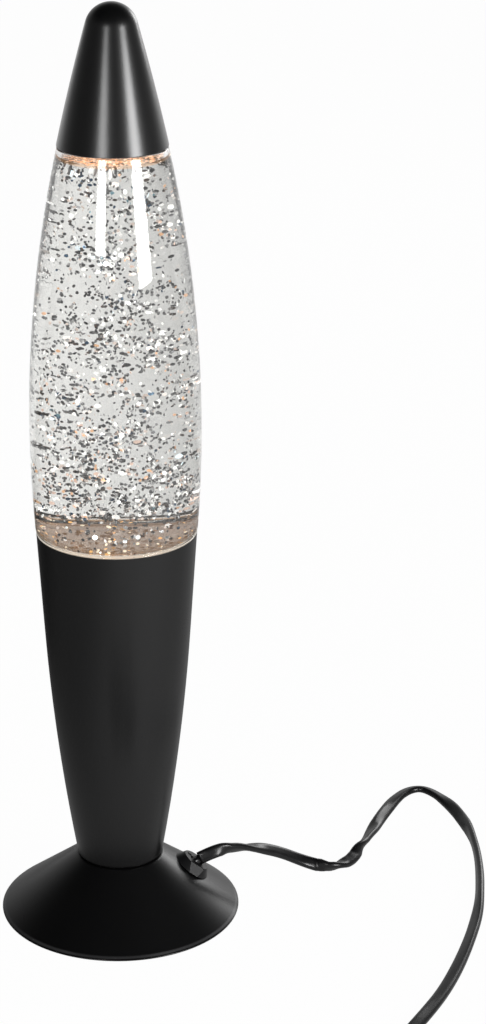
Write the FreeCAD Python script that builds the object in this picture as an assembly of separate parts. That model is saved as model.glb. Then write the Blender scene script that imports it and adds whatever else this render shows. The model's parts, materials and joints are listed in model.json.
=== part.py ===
"""Glitter table lamp: spun metal foot, housing and cap, a liquid-filled glass bottle, and its mains flex.

Millimetres, +Z up, origin on the table under the middle of the foot. +X is the side that the flex leaves.
"""
import FreeCAD, Part
import math
import os

V = FreeCAD.Vector
UP = V(0, 0, 1)
ORIGIN = V(0, 0, 0)

# Foot: a spun cone with its edge turned under
foot_radius = 54.6
foot_height = 27.4
foot_top_radius = 19.6
foot_sheet = 1.2
foot_edge_radius = 0.35
foot_lift = 0.3
hem_width = 6.3
cover_thickness = 1.2
cover_clearance = 0.6
pad_clearance = 0.4

# Housing: the tall black shell that takes the bulb and the bottle
housing_height = 158.8
housing_base_radius = 19.3
housing_bend_height = 115.4
housing_bend_radius = 32.75
housing_rim_radius = 35.5
housing_bow = 1.6
housing_sheet = 1.0
housing_corner = 2.0

# Clear ring between the housing's rim and the bottle
ring_flange = 0.9
ring_sleeve_depth = 8.4
ring_sleeve_wall = 0.9
ring_sleeve_clearance = 1.2
ring_lip_thickness = 1.2
ring_lip_width = 5.0
moving_gap = 0.3

# Bottle
bottle_heel_overhang = 0.25
bottle_swell = 1.75
bottle_lower_height = 45.0
bottle_upper_height = 126.7
bottle_wall = 2.6
bottle_floor = 6.6
bottle_punt = 3.0
bottle_heel_radius = 1.4
spigot_corner = 2.0
floor_corner = 6.0
ledge_width = 1.1
shoulder_radius = 10.0
neck_radius = 9.8
neck_fillet = 2.0
neck_height = 12.2
neck_wall = 2.2
liquid_drop = 3.4
liquid_film = 0.05
closure_wall = 0.6
closure_clearance = 0.4
closure_skirt = 11.4
closure_knurls = 30
liner_thickness = 1.4

# Cap
cap_height = 60.3
cap_rim_radius = 23.8
cap_tip_radius = 11.3
cap_bow = 0.35
cap_sheet = 0.8
grip_ring_height = 3.0
grip_ring_drop = 3.0
grip_clearance = 0.5
grip_film = 0.05

# Glitter
flake_count = 96
flake_across = 1.8
flake_thickness = 0.25
flake_edge_distance = 4.0

# Threaded tube that holds foot, housing and lampholder together
tube_radius = 5.0
tube_bore = 3.6
tube_below = 4.7
tube_above = 9.0
tube_clearance = 0.2
nut_flats = 14.0
nut_thickness = 3.4
washer_radius = 9.0
washer_thickness = 0.8
washer_teeth = 12
spacer_wall = 2.6

# Lampholder
holder_radius = 13.5
holder_cap_height = 11.0
holder_body_height = 37.0
holder_wall = 2.0
holder_mouth_clearance = 1.0
core_thickness = 5.0
core_height = 9.0
sleeve_clearance = 0.3
sleeve_wall = 0.5
sleeve_length = 16.0
terminal_size = 4.6
terminal_spacing = 13.0
terminal_screw_radius = 1.3
contact_gap = 0.3

# Reflector bulb
bulb_gap = 26.0
bulb_length = 66.0
bulb_radius = 19.5
bulb_neck_radius = 9.0
bulb_face_rise = 6.0
bulb_edge = 1.6
bulb_swell = 3.2
bulb_glass_wall = 0.8
screw_radius = 6.95
screw_pitch = 2.82
screw_depth = 0.6
screw_turns = 5
screw_length = 20.5
screw_sheet = 0.35
tip_radius = 2.6
tip_height = 1.6
stem_radius = 3.6
stem_height = 26.0
filament_radius = 0.35
filament_width = 12.0

# Flex and its bushing in the foot
flex_diameter = 4.8
flex_rest = 0.05
bushing_azimuth = 4.5
bushing_from_edge = 21.6
bushing_radius = 8.8
bushing_top_radius = 6.5
bushing_head = 3.8
bushing_flat = 5.4
bushing_flat_lean = 40.0
bushing_shank_length = 11.0
bushing_shank_width = 8.6
bushing_shank_depth = 3.0
wedge_thickness = 2.2
bushing_edge = 0.35
bushing_hole_clearance = 0.15
bushing_tilt = 26.8
flex_grip = 0.05
flex_proud = 1.5

# Flex: points of its route, chosen along the line that it takes over the table
flex_straight = 8.0
lamp_run = [
    (60, 16.3, 19.6), (76, 27, 10), (88, 31, 2.45), (99, 26.5, 2.45),
    (110, 30.5, 2.45), (116.5, 42, 2.45), (121.5, 62, 2.45), (130.5, 89.5, 2.45), (137.5, 105.9, 2.45),
    (151.1, 110.4, 2.45), (163.6, 103.6, 2.45), (169, 83.5, 2.45), (173, 45, 2.45), (170, 5, 2.45),
    (159.5, -36, 2.45), (145, -77, 2.45), (124.5, -113, 2.45), (113, -136, 2.45), (106, -152, 2.9),
]
inner_reach = 26.4
inner_run = [(0.0, 0.0, 18.0), (0.6, 0.3, 42.0)]
coil_middle_radius = 28.5
coil_turns = 6.5
coil_pitch = 5.2
coil_layer_rise = 6.3
coil_lift = 0.7
coil_gap_to_switch = 34.0
plug_lead = 24.0
tie_width = 10.0
tie_thickness = 0.5
tie_slack = 0.4
tie_headroom = 0.85
tie_corner = 2.0
tie_overlap = 9.0

# Switch in the flex
switch_x = 84.0
switch_y = -160.0
switch_length = 60.0
switch_width = 23.0
switch_height = 16.0
switch_wall = 1.8
switch_end = 7.0
rocker_length = 17.0
rocker_width = 10.0
rocker_proud = 1.6
rocker_gap = 0.8
rocker_travel = 8.0
rocker_depth = 5.0
pivot_radius = 1.2
pivot_clearance = 0.06
pivot_length = 1.5
cheek_thickness = 2.4
cheek_length = 6.0
blade_thickness = 0.5
blade_length = 17.0
blade_width = 4.0
terminal_height = 3.4
switch_terminal_x = 13.5
core_diameter = 1.6
switch_screw_radius = 1.4
switch_screw_spacing = 38.0

# Plug
plug_width = 26.0
plug_thickness = 13.7
plug_length = 35.3
plug_corner = 3.0
pin_radius = 2.0
pin_length = 19.0
pin_spacing = 18.6
pin_root = 8.0
pin_sleeve_length = 10.0
pin_waist = 0.3
boot_length = 22.0
boot_root_radius = 4.6
boot_tip_radius = 3.1
boot_rings = 4

os.makedirs("parts", exist_ok=True)


def save(name, shape):
    """Write one sub-part and print what it holds."""
    solids = shape.Solids
    shape.exportStep("parts/%s.step" % name)
    print("%-24s solids %3d volume %10.1f valid %s" % (name, len(solids), shape.Volume, shape.isValid()))


def arc_edge(start, middle, end):
    return Part.Arc(start, middle, end).toShape()


def line_edge(start, end):
    return Part.LineSegment(start, end).toShape()


def rounded(corners):
    """Closed face in the radius-height plane.

    A corner is (radius, height, rounding, bow): rounding is its fillet, and bow is how far the side that
    arrives at it bulges to the left of its direction of travel.
    """
    full = [tuple(c) + (0.0,) * (4 - len(c)) for c in corners]
    count = len(full)
    places = [V(c[0], 0, c[1]) for c in full]
    entry = []
    middle = []
    leave = []
    for i in range(count):
        here = places[i]
        rounding = full[i][2]
        back = (places[i - 1] - here).normalize()
        ahead = (places[(i + 1) % count] - here).normalize()
        half = back.getAngle(ahead) / 2
        reach = rounding / math.tan(half)
        entry.append(here + back * reach)
        leave.append(here + ahead * reach)
        middle.append(here + (back + ahead).normalize() * (rounding / math.sin(half) - rounding))
    edges = []
    for i in range(count):
        start = leave[i - 1]
        end = entry[i]
        bow = full[i][3]
        if bow:
            along = (end - start).normalize()
            left = V(-along.z, 0, along.x)
            edges.append(arc_edge(start, (start + end) * 0.5 + left * bow, end))
        elif start.distanceToPoint(end) > 1e-6:
            edges.append(line_edge(start, end))
        if full[i][2]:
            edges.append(arc_edge(entry[i], middle[i], leave[i]))
    return Part.Face(Part.Wire(edges))


def turned(corners):
    """Solid of revolution about the lamp's axis."""
    return rounded(corners).revolve(ORIGIN, UP, 360)


def rod(radius, low, high, x=0.0, y=0.0):
    return Part.makeCylinder(radius, high - low, V(x, y, low))


def washer(outer, inner, low, high):
    return rod(outer, low, high).cut(rod(inner, low - 1, high + 1))


def tangent_path(points):
    """Straight runs joined by arcs, each as large as its two runs allow. Returns the edges and the radii."""
    places = [V(*p) for p in points]
    edges = []
    radii = []
    start = places[0]
    for i in range(1, len(places) - 1):
        here = places[i]
        back = here - places[i - 1]
        ahead = places[i + 1] - here
        reach = 0.45 * min(back.Length, ahead.Length)
        back.normalize()
        ahead.normalize()
        half = back.getAngle(ahead) / 2
        radius = reach / math.tan(half)
        radii.append(radius)
        entry = here - back * reach
        leave = here + ahead * reach
        inward = (ahead - back).normalize()
        edges.append(line_edge(start, entry))
        edges.append(arc_edge(entry, here + inward * (radius / math.cos(half) - radius), leave))
        start = leave
    edges.append(line_edge(start, places[-1]))
    return edges, radii


def tube_along(edges, diameter):
    """Round tube swept along a smooth chain of edges."""
    wire = Part.Wire(edges)
    start = edges[0].valueAt(edges[0].FirstParameter)
    direction = edges[0].tangentAt(edges[0].FirstParameter)
    section = Part.Wire([Part.Circle(start, direction, diameter / 2).toShape()])
    return wire.makePipeShell([section], True, False)


def run_tube(name, points, diameter=flex_diameter):
    """Tube along a chosen route, with its radii, length and volume printed."""
    edges, radii = tangent_path(points)
    shape = tube_along(edges, diameter)
    length = sum(e.Length for e in edges)
    area = math.pi * diameter ** 2 / 4
    share = shape.Volume / (length * area)
    print("%s length %.1f, volume over section times length %.4f" % (name, length, share))
    print("   radii " + " ".join("%.1f" % r for r in radii))
    return shape, length


# Heights that stack up from the table
hem_top = foot_lift + foot_sheet
housing_base = foot_height
collar = housing_base + housing_height
ring_top = collar + ring_flange
bottle_heel = ring_top + moving_gap
bottle_widest = bottle_heel + bottle_lower_height
ledge = bottle_widest + bottle_upper_height
cap_rim = ledge + moving_gap
lamp_top = cap_rim + cap_height
print("whole height %.1f" % lamp_top)


# Foot
foot_rise = foot_height - foot_lift
foot_slope = math.atan2(foot_rise, foot_radius - foot_top_radius)
for step in range(6):
    foot_corner = foot_radius + foot_edge_radius * (1 / math.tan(foot_slope / 2) - 1)
    foot_slope = math.atan2(foot_rise, foot_corner - foot_top_radius)
sheet_drop = foot_sheet / math.cos(foot_slope)
hem_radius = foot_radius - foot_edge_radius - hem_width


def foot_surface(radius):
    """Height of the foot's outer face at a radius."""
    return foot_height - (radius - foot_top_radius) * math.tan(foot_slope)


hem_meets_wall = foot_top_radius + (foot_height - sheet_drop - hem_top) / math.tan(foot_slope)
inner_top_radius = foot_top_radius - (sheet_drop - foot_sheet) / math.tan(foot_slope)
foot = turned([
    (hem_radius, foot_lift),
    (foot_corner, foot_lift, foot_edge_radius),
    (foot_top_radius, foot_height, 1.5),
    (tube_radius + tube_clearance, foot_height),
    (tube_radius + tube_clearance, foot_height - foot_sheet),
    (inner_top_radius, foot_height - foot_sheet),
    (hem_meets_wall, hem_top),
    (hem_radius, hem_top),
])

# Place of the bushing on the cone, with its own axes: across, up the slope, and out of the face
azimuth = math.radians(bushing_azimuth)
bushing_place_radius = foot_radius - bushing_from_edge
outward = V(math.cos(azimuth), math.sin(azimuth), 0)
across = V(-math.sin(azimuth), math.cos(azimuth), 0)
face_normal = outward * math.sin(foot_slope) + UP * math.cos(foot_slope)
up_slope = UP * math.sin(foot_slope) - outward * math.cos(foot_slope)
bushing_origin = outward * bushing_place_radius + UP * foot_surface(bushing_place_radius)
bushing_place = FreeCAD.Placement(bushing_origin, FreeCAD.Rotation(across, up_slope, face_normal, "ZXY"))
tilt = math.radians(bushing_tilt)
flex_direction = face_normal * math.cos(tilt) - up_slope * math.sin(tilt)
flex_exit = bushing_origin + face_normal * bushing_head + flex_direction * flex_proud


def placed(shape, place):
    shape.Placement = place
    return shape


def oval_block(width, length, low, high):
    """Block with round ends: width across, length up the slope."""
    half = (length - width) / 2
    block = Part.makeBox(width, 2 * half, high - low, V(-width / 2, -half, low)) if half > 0 else None
    ends = [rod(width / 2, low, high, 0, half), rod(width / 2, low, high, 0, -half)]
    return block.fuse(ends).removeSplitter() if block else ends[0]


hole = oval_block(bushing_shank_width + 2 * bushing_hole_clearance,
                  bushing_shank_length + 2 * bushing_hole_clearance, -4 * foot_sheet, 4 * foot_sheet)
foot = foot.cut(placed(hole, bushing_place))
save("foot", foot)

cover_radius = hem_meets_wall - cover_clearance - cover_thickness / math.tan(foot_slope)
save("foot_cover", rod(cover_radius, hem_top, hem_top + cover_thickness))
pad_radius = hem_radius - pad_clearance
save("non_slip_pad", rod(pad_radius, 0, hem_top))

# Bushing: a round head with sloping sides and one flat, and a clamp wedge beside the flex
head = Part.makeCone(bushing_radius, bushing_top_radius, bushing_head)
flat_cutter = Part.makeBox(bushing_radius, 4 * bushing_radius, 4 * bushing_head,
                           V(-bushing_radius, -2 * bushing_radius, -2 * bushing_head))
flat_cutter.rotate(ORIGIN, V(0, 1, 0), bushing_flat_lean)
flat_cutter.translate(V(-bushing_flat, 0, bushing_head))
head = head.cut(flat_cutter)
rim_edges = [e for e in head.Edges if e.BoundBox.ZMin > bushing_head - 1e-3]
head = head.makeFillet(bushing_edge, rim_edges)
shank = oval_block(bushing_shank_width, bushing_shank_length, -foot_sheet - bushing_shank_depth, 0)
bushing = head.fuse(shank).removeSplitter()
bore_axis = V(0, -math.sin(tilt), math.cos(tilt))
bore_start = V(0, 0, bushing_head) - bore_axis * 30
bore = Part.makeCylinder(flex_diameter / 2 + flex_grip, 60, bore_start, bore_axis)
bushing = bushing.cut(bore)
wedge_width = flex_diameter + 0.6
wedge_low = -foot_sheet - 2
wedge_space = Part.makeBox(wedge_width, wedge_thickness, bushing_head - wedge_low + 1,
                           V(-wedge_width / 2, flex_diameter / 2 + 0.2, wedge_low))
wedge = Part.makeBox(wedge_width - 0.3, wedge_thickness - 0.15, bushing_head - wedge_low - 0.4,
                     V(-wedge_width / 2 + 0.15, flex_diameter / 2 + 0.2, wedge_low)).cut(bore)
bushing = bushing.cut(wedge_space)
save("flex_bushing", placed(bushing, bushing_place))
save("flex_wedge", placed(wedge, bushing_place))


# Housing
bend_height = housing_base + housing_bend_height
bend_inside = housing_bend_radius - housing_sheet
base_inside = housing_base_radius - housing_sheet
housing = turned([
    (tube_radius + tube_clearance, housing_base),
    (housing_base_radius, housing_base, housing_corner),
    (housing_bend_radius, bend_height, 0, -housing_bow),
    (housing_rim_radius, collar),
    (housing_rim_radius - housing_sheet, collar),
    (bend_inside, bend_height),
    (base_inside, housing_base + housing_sheet, housing_corner - housing_sheet, housing_bow),
    (tube_radius + tube_clearance, housing_base + housing_sheet),
])
save("housing", housing)

# Clear ring on the rim, with a sleeve and a lip under the bottle
sleeve_outer = housing_rim_radius - housing_sheet - ring_sleeve_clearance
sleeve_inner = sleeve_outer - ring_sleeve_wall
lip_top = collar - ring_sleeve_depth + ring_lip_thickness
save("bottle_seat_ring", turned([
    (sleeve_inner, ring_top, 0.2),
    (housing_rim_radius, ring_top, 0.35),
    (housing_rim_radius, collar),
    (sleeve_outer, collar),
    (sleeve_outer, collar - ring_sleeve_depth, 0.3),
    (sleeve_inner - ring_lip_width, collar - ring_sleeve_depth),
    (sleeve_inner - ring_lip_width, lip_top),
    (sleeve_inner, lip_top),
]))

# Bottle
spigot_radius = sleeve_inner - moving_gap
bottle_base = lip_top + moving_gap
heel_radius = housing_rim_radius + bottle_heel_overhang
widest_radius = heel_radius + bottle_swell
mouth_radius = cap_rim_radius - moving_gap
floor_top = bottle_base + bottle_floor


def belly(height):
    """Outer radius of the bottle between its heel and the cap."""
    below = height < bottle_widest
    reach = bottle_lower_height if below else bottle_upper_height
    drop = widest_radius - (heel_radius if below else mouth_radius)
    curve = (reach ** 2 + drop ** 2) / (2 * drop)
    return widest_radius - curve + math.sqrt(curve ** 2 - (height - bottle_widest) ** 2)


def belly_edges(inset, low, high):
    """Two arcs up the bottle's side, moved in by inset."""
    below = (low + bottle_widest) / 2
    above = (high + bottle_widest) / 2
    spots = [(belly(h) - inset, h) for h in (low, below, bottle_widest, above, high)]
    places = [V(r, 0, h) for r, h in spots]
    return [arc_edge(*places[0:3]), arc_edge(*places[2:5])]


def shoulder_edges(inset, start):
    """Shoulder and neck fillet, moved in by inset. Returns the edges and the foot of the neck."""
    slope = math.atan2(belly(ledge - 4) - belly(ledge), 4)
    middle = V(mouth_radius - ledge_width - shoulder_radius * math.cos(slope), 0,
               ledge - shoulder_radius * math.sin(slope))
    radius = shoulder_radius - inset
    first = start
    top = middle + UP * radius
    angle = (math.atan2(first.z - middle.z, first.x - middle.x) + math.pi / 2) / 2
    halfway = middle + V(math.cos(angle), 0, math.sin(angle)) * radius
    column = neck_radius - (neck_wall if inset else 0)
    fillet = neck_fillet + inset
    turn = V(column + fillet, 0, top.z)
    ends = V(column, 0, top.z + fillet)
    bend = V(column + fillet, 0, top.z + fillet) - V(1, 0, 1).normalize() * fillet
    edges = [arc_edge(first, halfway, top)]
    if top.x - turn.x > 1e-6:
        edges.append(line_edge(top, turn))
    edges.append(arc_edge(turn, bend, ends))
    return edges, ends


def shoulder_start(inset):
    slope = math.atan2(belly(ledge - 4) - belly(ledge), 4)
    middle = V(mouth_radius - ledge_width - shoulder_radius * math.cos(slope), 0,
               ledge - shoulder_radius * math.sin(slope))
    return middle + V(math.cos(slope), 0, math.sin(slope)) * (shoulder_radius - inset)


outer_shoulder, neck_foot = shoulder_edges(0, shoulder_start(0))
neck_top = neck_foot.z + neck_height
heel_start = V(belly(bottle_heel + bottle_heel_radius), 0, bottle_heel + bottle_heel_radius)
heel_bend = V(heel_start.x - bottle_heel_radius * (1 - math.sqrt(0.5)), 0,
              bottle_heel + bottle_heel_radius * (1 - math.sqrt(0.5)))
heel_end = V(heel_start.x - bottle_heel_radius, 0, bottle_heel)
spigot_top = V(spigot_radius, 0, bottle_heel)
spigot_low = V(spigot_radius, 0, bottle_base + spigot_corner)
spigot_bend = V(spigot_radius - spigot_corner * (1 - math.sqrt(0.5)), 0,
                bottle_base + spigot_corner * (1 - math.sqrt(0.5)))
spigot_end = V(spigot_radius - spigot_corner, 0, bottle_base)
punt_edge = V(spigot_radius - spigot_corner - 5, 0, bottle_base)
punt_middle = V(0, 0, bottle_base + bottle_punt)
punt_rise = V(punt_edge.x * 0.55, 0, bottle_base + bottle_punt * 0.72)
ledge_out = V(belly(ledge - 0.8), 0, ledge - 0.8)
ledge_round = V(ledge_out.x - 0.25, 0, ledge - 0.25)
ledge_top = V(ledge_out.x - 0.75, 0, ledge)
shoulder_low = shoulder_start(0)

wall_low = floor_top + floor_corner
floor_side = V(belly(wall_low) - bottle_wall, 0, wall_low)
floor_bend = floor_side + V(-floor_corner * (1 - math.sqrt(0.5)), 0, -floor_corner * math.sqrt(0.5))
floor_end = V(floor_side.x - floor_corner, 0, floor_top)
inner_top = shoulder_start(bottle_wall).z
bore_edges = belly_edges(bottle_wall, wall_low, inner_top)
bore_end = V(belly(inner_top) - bottle_wall, 0, inner_top)
inner_shoulder, inner_neck_foot = shoulder_edges(bottle_wall, bore_end)

glass_edges = [
    arc_edge(punt_middle, punt_rise, punt_edge),
    line_edge(punt_edge, spigot_end),
    arc_edge(spigot_end, spigot_bend, spigot_low),
    line_edge(spigot_low, spigot_top),
    line_edge(spigot_top, heel_end),
    arc_edge(heel_end, heel_bend, heel_start),
]
glass_edges += belly_edges(0, heel_start.z, ledge_out.z)
glass_edges.append(arc_edge(ledge_out, ledge_round, ledge_top))
glass_edges.append(line_edge(ledge_top, shoulder_low))
glass_edges += outer_shoulder
bore_wall = V(neck_radius - neck_wall, 0, neck_top)
glass_edges.append(line_edge(neck_foot, V(neck_radius, 0, neck_top)))
glass_edges.append(line_edge(V(neck_radius, 0, neck_top), bore_wall))
inside = [line_edge(bore_wall, inner_neck_foot)]
inside += [e for e in reversed(inner_shoulder)]
inside += [e for e in reversed(bore_edges)]
inside.append(arc_edge(floor_side, floor_bend, floor_end))
inside.append(line_edge(floor_end, V(0, 0, floor_top)))
inside.append(line_edge(V(0, 0, floor_top), punt_middle))
glass_wire = Part.Wire(Part.__sortEdges__(glass_edges + inside))
bottle_glass = Part.Face(glass_wire).revolve(ORIGIN, UP, 360)
save("bottle_glass", bottle_glass)

# Liquid: the bottle's inside up to its level, a hair smaller than the glass
level = ledge - liquid_drop
side = belly_edges(bottle_wall + liquid_film, wall_low, level)
low_side = V(belly(wall_low) - bottle_wall - liquid_film, 0, wall_low)
low_bend = floor_bend + V(-liquid_film, 0, liquid_film)
low_end = V(floor_end.x, 0, floor_top + liquid_film)
level_edge = V(belly(level) - bottle_wall - liquid_film, 0, level)
liquid_wire = Part.Wire([
    line_edge(V(0, 0, level), V(0, 0, low_end.z)),
    line_edge(V(0, 0, low_end.z), low_end),
    arc_edge(low_end, low_bend, low_side),
] + side + [line_edge(level_edge, V(0, 0, level))])
save("bottle_liquid", Part.Face(liquid_wire).revolve(ORIGIN, UP, 360))

# Glitter: six-sided flakes spread through the liquid by turns of the golden angle
golden_turn = math.radians(137.508)
flakes = []
for i in range(flake_count):
    share = (i + 0.5) / flake_count
    height = floor_top + floor_corner + share * (level - floor_top - floor_corner - flake_edge_distance)
    spread = math.sqrt(((i * 7) % flake_count + 0.5) / flake_count)
    reach = (belly(height) - bottle_wall - flake_edge_distance) * spread
    corners = [V(math.cos(math.radians(60 * k)), math.sin(math.radians(60 * k)), 0) * (flake_across / 2)
               for k in range(7)]
    flake = Part.Face(Part.makePolygon(corners)).extrude(UP * flake_thickness)
    tip = FreeCAD.Rotation(math.degrees(golden_turn) * i, 55 * math.sin(2.1 * i), 65 * math.cos(1.3 * i))
    spot = V(math.cos(golden_turn * i) * reach, math.sin(golden_turn * i) * reach, height)
    flakes.append(placed(flake, FreeCAD.Placement(spot, tip)))
save("glitter_flakes", Part.makeCompound(flakes))

# Screw closure on the neck, with its liner
closure_inner = neck_radius + closure_clearance
closure_outer = closure_inner + closure_wall
closure_top = neck_top + liner_thickness + closure_wall
closure = turned([
    (0, closure_top), (0, closure_top - closure_wall), (closure_inner, closure_top - closure_wall),
    (closure_inner, closure_top - closure_skirt), (closure_outer, closure_top - closure_skirt),
    (closure_outer, closure_top, 0.9),
])
knurls = []
for i in range(closure_knurls):
    turn = 2 * math.pi * i / closure_knurls
    reach = closure_outer + 0.3
    knurls.append(rod(0.5, closure_top - closure_skirt + 1.5, closure_top - 2.0,
                      reach * math.cos(turn), reach * math.sin(turn)))
save("bottle_closure", closure.cut(Part.makeCompound(knurls)))
save("closure_liner", rod(closure_inner - 0.1, neck_top, neck_top + liner_thickness))

# Cap: cone with a slight belly and a round tip
tip_middle = lamp_top - cap_tip_radius
cone_drop = cap_rim_radius - cap_tip_radius
lean = math.atan2(cone_drop, tip_middle - cap_rim)
for step in range(8):
    lean = math.atan2(cap_rim_radius - cap_tip_radius * math.cos(lean),
                      tip_middle + cap_tip_radius * math.sin(lean) - cap_rim)


def cap_edges(inset, low):
    """Side and tip of the cap from height low to the axis, moved in by inset."""
    radius = cap_tip_radius - inset
    foot_point = V(cap_rim_radius - inset / math.cos(lean) - (low - cap_rim) * math.tan(lean), 0, low)
    join = V(radius * math.cos(lean), 0, tip_middle + radius * math.sin(lean))
    bulge = (foot_point + join) * 0.5 + V(math.cos(lean), 0, math.sin(lean)) * cap_bow
    crown = V(0, 0, tip_middle + radius)
    half = (lean + math.pi / 2) / 2
    halfway = V(radius * math.cos(half), 0, tip_middle + radius * math.sin(half))
    return [arc_edge(foot_point, bulge, join), arc_edge(join, halfway, crown)], foot_point


outer_cap, outer_foot = cap_edges(0, cap_rim + 0.4)
inner_cap, inner_foot = cap_edges(cap_sheet, cap_rim)
rim_low = V(outer_foot.x - 0.35, 0, cap_rim)
rim_bend = V(outer_foot.x - 0.05, 0, cap_rim + 0.12)
cap_wire = Part.Wire(Part.__sortEdges__(
    outer_cap + inner_cap
    + [arc_edge(outer_foot, rim_bend, rim_low), line_edge(rim_low, inner_foot)]
    + [line_edge(V(0, 0, lamp_top), V(0, 0, lamp_top - cap_sheet))]
))
save("cap", Part.Face(cap_wire).revolve(ORIGIN, UP, 360))


def cap_inside(height):
    """Inner radius of the cap near its rim."""
    return inner_foot.x - (height - cap_rim) * math.tan(lean)


grip_low = cap_rim + grip_ring_drop
grip_high = grip_low + grip_ring_height
shoulder_middle = shoulder_start(shoulder_radius)


def shoulder_at(height):
    """Outer radius of the bottle's shoulder at a height."""
    rise = height - shoulder_middle.z
    return shoulder_middle.x + math.sqrt(shoulder_radius ** 2 - rise ** 2)


grip_wall = cap_inside(grip_low) - grip_film - shoulder_at(grip_low) - grip_clearance
save("cap_grip_ring", turned([
    (cap_inside(grip_low) - grip_film - grip_wall, grip_low),
    (cap_inside(grip_low) - grip_film, grip_low),
    (cap_inside(grip_high) - grip_film, grip_high),
    (cap_inside(grip_high) - grip_film - grip_wall, grip_high),
]))

# Threaded tube, nut, washer and spacer
tube_low = foot_height - foot_sheet - tube_below
bulb_top = bottle_base - bulb_gap
tip_low = bulb_top - bulb_length
holder_top = tip_low + screw_length + 1.0
holder_joint = holder_top - holder_body_height
holder_base = holder_joint - holder_cap_height
tube_high = holder_base + tube_above
save("threaded_tube", washer(tube_radius, tube_bore, tube_low, tube_high))
washer_low = foot_height - foot_sheet - washer_thickness
nut_low = washer_low - nut_thickness
lock_washer = washer(washer_radius, tube_radius + tube_clearance, washer_low, foot_height - foot_sheet)
notches = []
for i in range(washer_teeth):
    turn = 2 * math.pi * i / washer_teeth
    notches.append(rod(0.9, washer_low - 1, foot_height, washer_radius * math.cos(turn),
                       washer_radius * math.sin(turn)))
save("lock_washer", lock_washer.cut(Part.makeCompound(notches)))
hexagon = [V(math.cos(math.radians(60 * k)), math.sin(math.radians(60 * k)), 0)
           * (nut_flats / 2 / math.cos(math.radians(30))) + UP * nut_low for k in range(7)]
nut = Part.Face(Part.makePolygon(hexagon)).extrude(UP * nut_thickness)
save("hex_nut", nut.cut(rod(tube_radius + 0.02, nut_low - 1, washer_low + 1)))
spacer_low = housing_base + housing_sheet
save("spacer_tube", washer(tube_radius + tube_clearance + spacer_wall, tube_radius + tube_clearance,
                           spacer_low, holder_base))

# Lampholder
save("holder_cap", turned([
    (tube_radius + tube_clearance, holder_base),
    (holder_radius, holder_base, 3.0),
    (holder_radius, holder_joint),
    (holder_radius - holder_wall, holder_joint),
    (holder_radius - holder_wall, holder_base + 2 * holder_wall, 1.5),
    (tube_radius + tube_clearance, holder_base + 2 * holder_wall),
]))
core_low = holder_joint + core_height
core_high = core_low + core_thickness
mouth = screw_radius + holder_mouth_clearance
chamber = holder_radius - holder_wall
save("holder_body", turned([
    (holder_radius, holder_joint),
    (holder_radius, holder_top, 1.2),
    (mouth, holder_top, 0.4),
    (mouth, core_high),
    (chamber, core_high),
    (chamber, holder_joint),
]))
core = rod(chamber - 0.1, core_low, core_high)
lead_holes = [rod(1.2, core_low - 1, core_high + 1, s * terminal_spacing / 2, 0) for s in (-1, 1)]
save("holder_core", core.cut(Part.makeCompound(lead_holes)))
sleeve_inside = screw_radius + sleeve_clearance
sleeve_outside = sleeve_inside + sleeve_wall
save("holder_sleeve", washer(sleeve_outside, sleeve_inside, core_high, core_high + sleeve_length))
contact_top = tip_low - contact_gap
contact_plate = Part.makeBox(4.4, 3.0, 0.5, V(-2.2, -1.5, contact_top - 0.5))
contact_foot = Part.makeBox(0.6, 3.0, contact_top - core_high, V(1.6, -1.5, core_high))
save("centre_contact", contact_plate.fuse(contact_foot).removeSplitter())
terminals = []
screws = []
for side_sign in (-1, 1):
    x = side_sign * terminal_spacing / 2
    low = core_low - terminal_size
    corner = V(x - terminal_size / 2, -terminal_size / 2, low)
    block = Part.makeBox(terminal_size, terminal_size, terminal_size, corner)
    entry_hole = rod(1.05, low - 1, low + terminal_size * 0.6, x, 0)
    middle = V(x, -terminal_size / 2 - 0.1, low + terminal_size * 0.5)
    thread_hole = Part.makeCylinder(terminal_screw_radius, terminal_size * 0.5, middle, V(0, 1, 0))
    terminals.append(block.cut(entry_hole).cut(thread_hole))
    shaft = Part.makeCylinder(terminal_screw_radius - 0.05, terminal_size * 0.5 - 1.2, middle, V(0, 1, 0))
    screw_head = Part.makeCylinder(2.0, 1.0, middle - V(0, 0.9, 0), V(0, 1, 0))
    slot = Part.makeBox(4.2, 0.5, 0.5, middle + V(-2.1, -1.0, -0.25))
    screws.append(shaft.fuse(screw_head).removeSplitter().cut(slot))
save("holder_terminals", Part.makeCompound(terminals))
save("terminal_screws", Part.makeCompound(screws))

# Bulb: screw shell with rolled thread, insulator, tip contact, envelope, stem and filament
shell_low = tip_low + tip_height + 1.6
shell_high = tip_low + screw_length
crest = screw_radius
valley = screw_radius - screw_depth
wall = []
thread_low = shell_low + 1.2
for i in range(screw_turns):
    wall.append((valley, thread_low + i * screw_pitch))
    wall.append((crest, thread_low + (i + 0.5) * screw_pitch, 0.9))
wall.append((valley, thread_low + screw_turns * screw_pitch))
bulb_shell = turned(
    [(valley - screw_sheet - 0.3, shell_low), (valley, shell_low)] + wall
    + [(valley, shell_high), (valley - screw_sheet - 0.3, shell_high)]
)
save("bulb_screw_shell", bulb_shell)
save("bulb_insulator", turned([
    (0, tip_low + tip_height), (tip_radius + 0.6, tip_low + tip_height),
    (valley - 0.2, shell_low), (0, shell_low),
]))
save("bulb_tip_contact", turned([
    (0, tip_low), (tip_radius, tip_low, 0.7), (tip_radius, tip_low + tip_height), (0, tip_low + tip_height),
]))
throat = valley - screw_sheet - 0.4
neck_end = shell_high + 7.0
brim = bulb_top - bulb_face_rise
w = bulb_glass_wall
crown_edge = bulb_radius - bulb_edge
crown_rise = bulb_face_rise - bulb_edge
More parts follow.
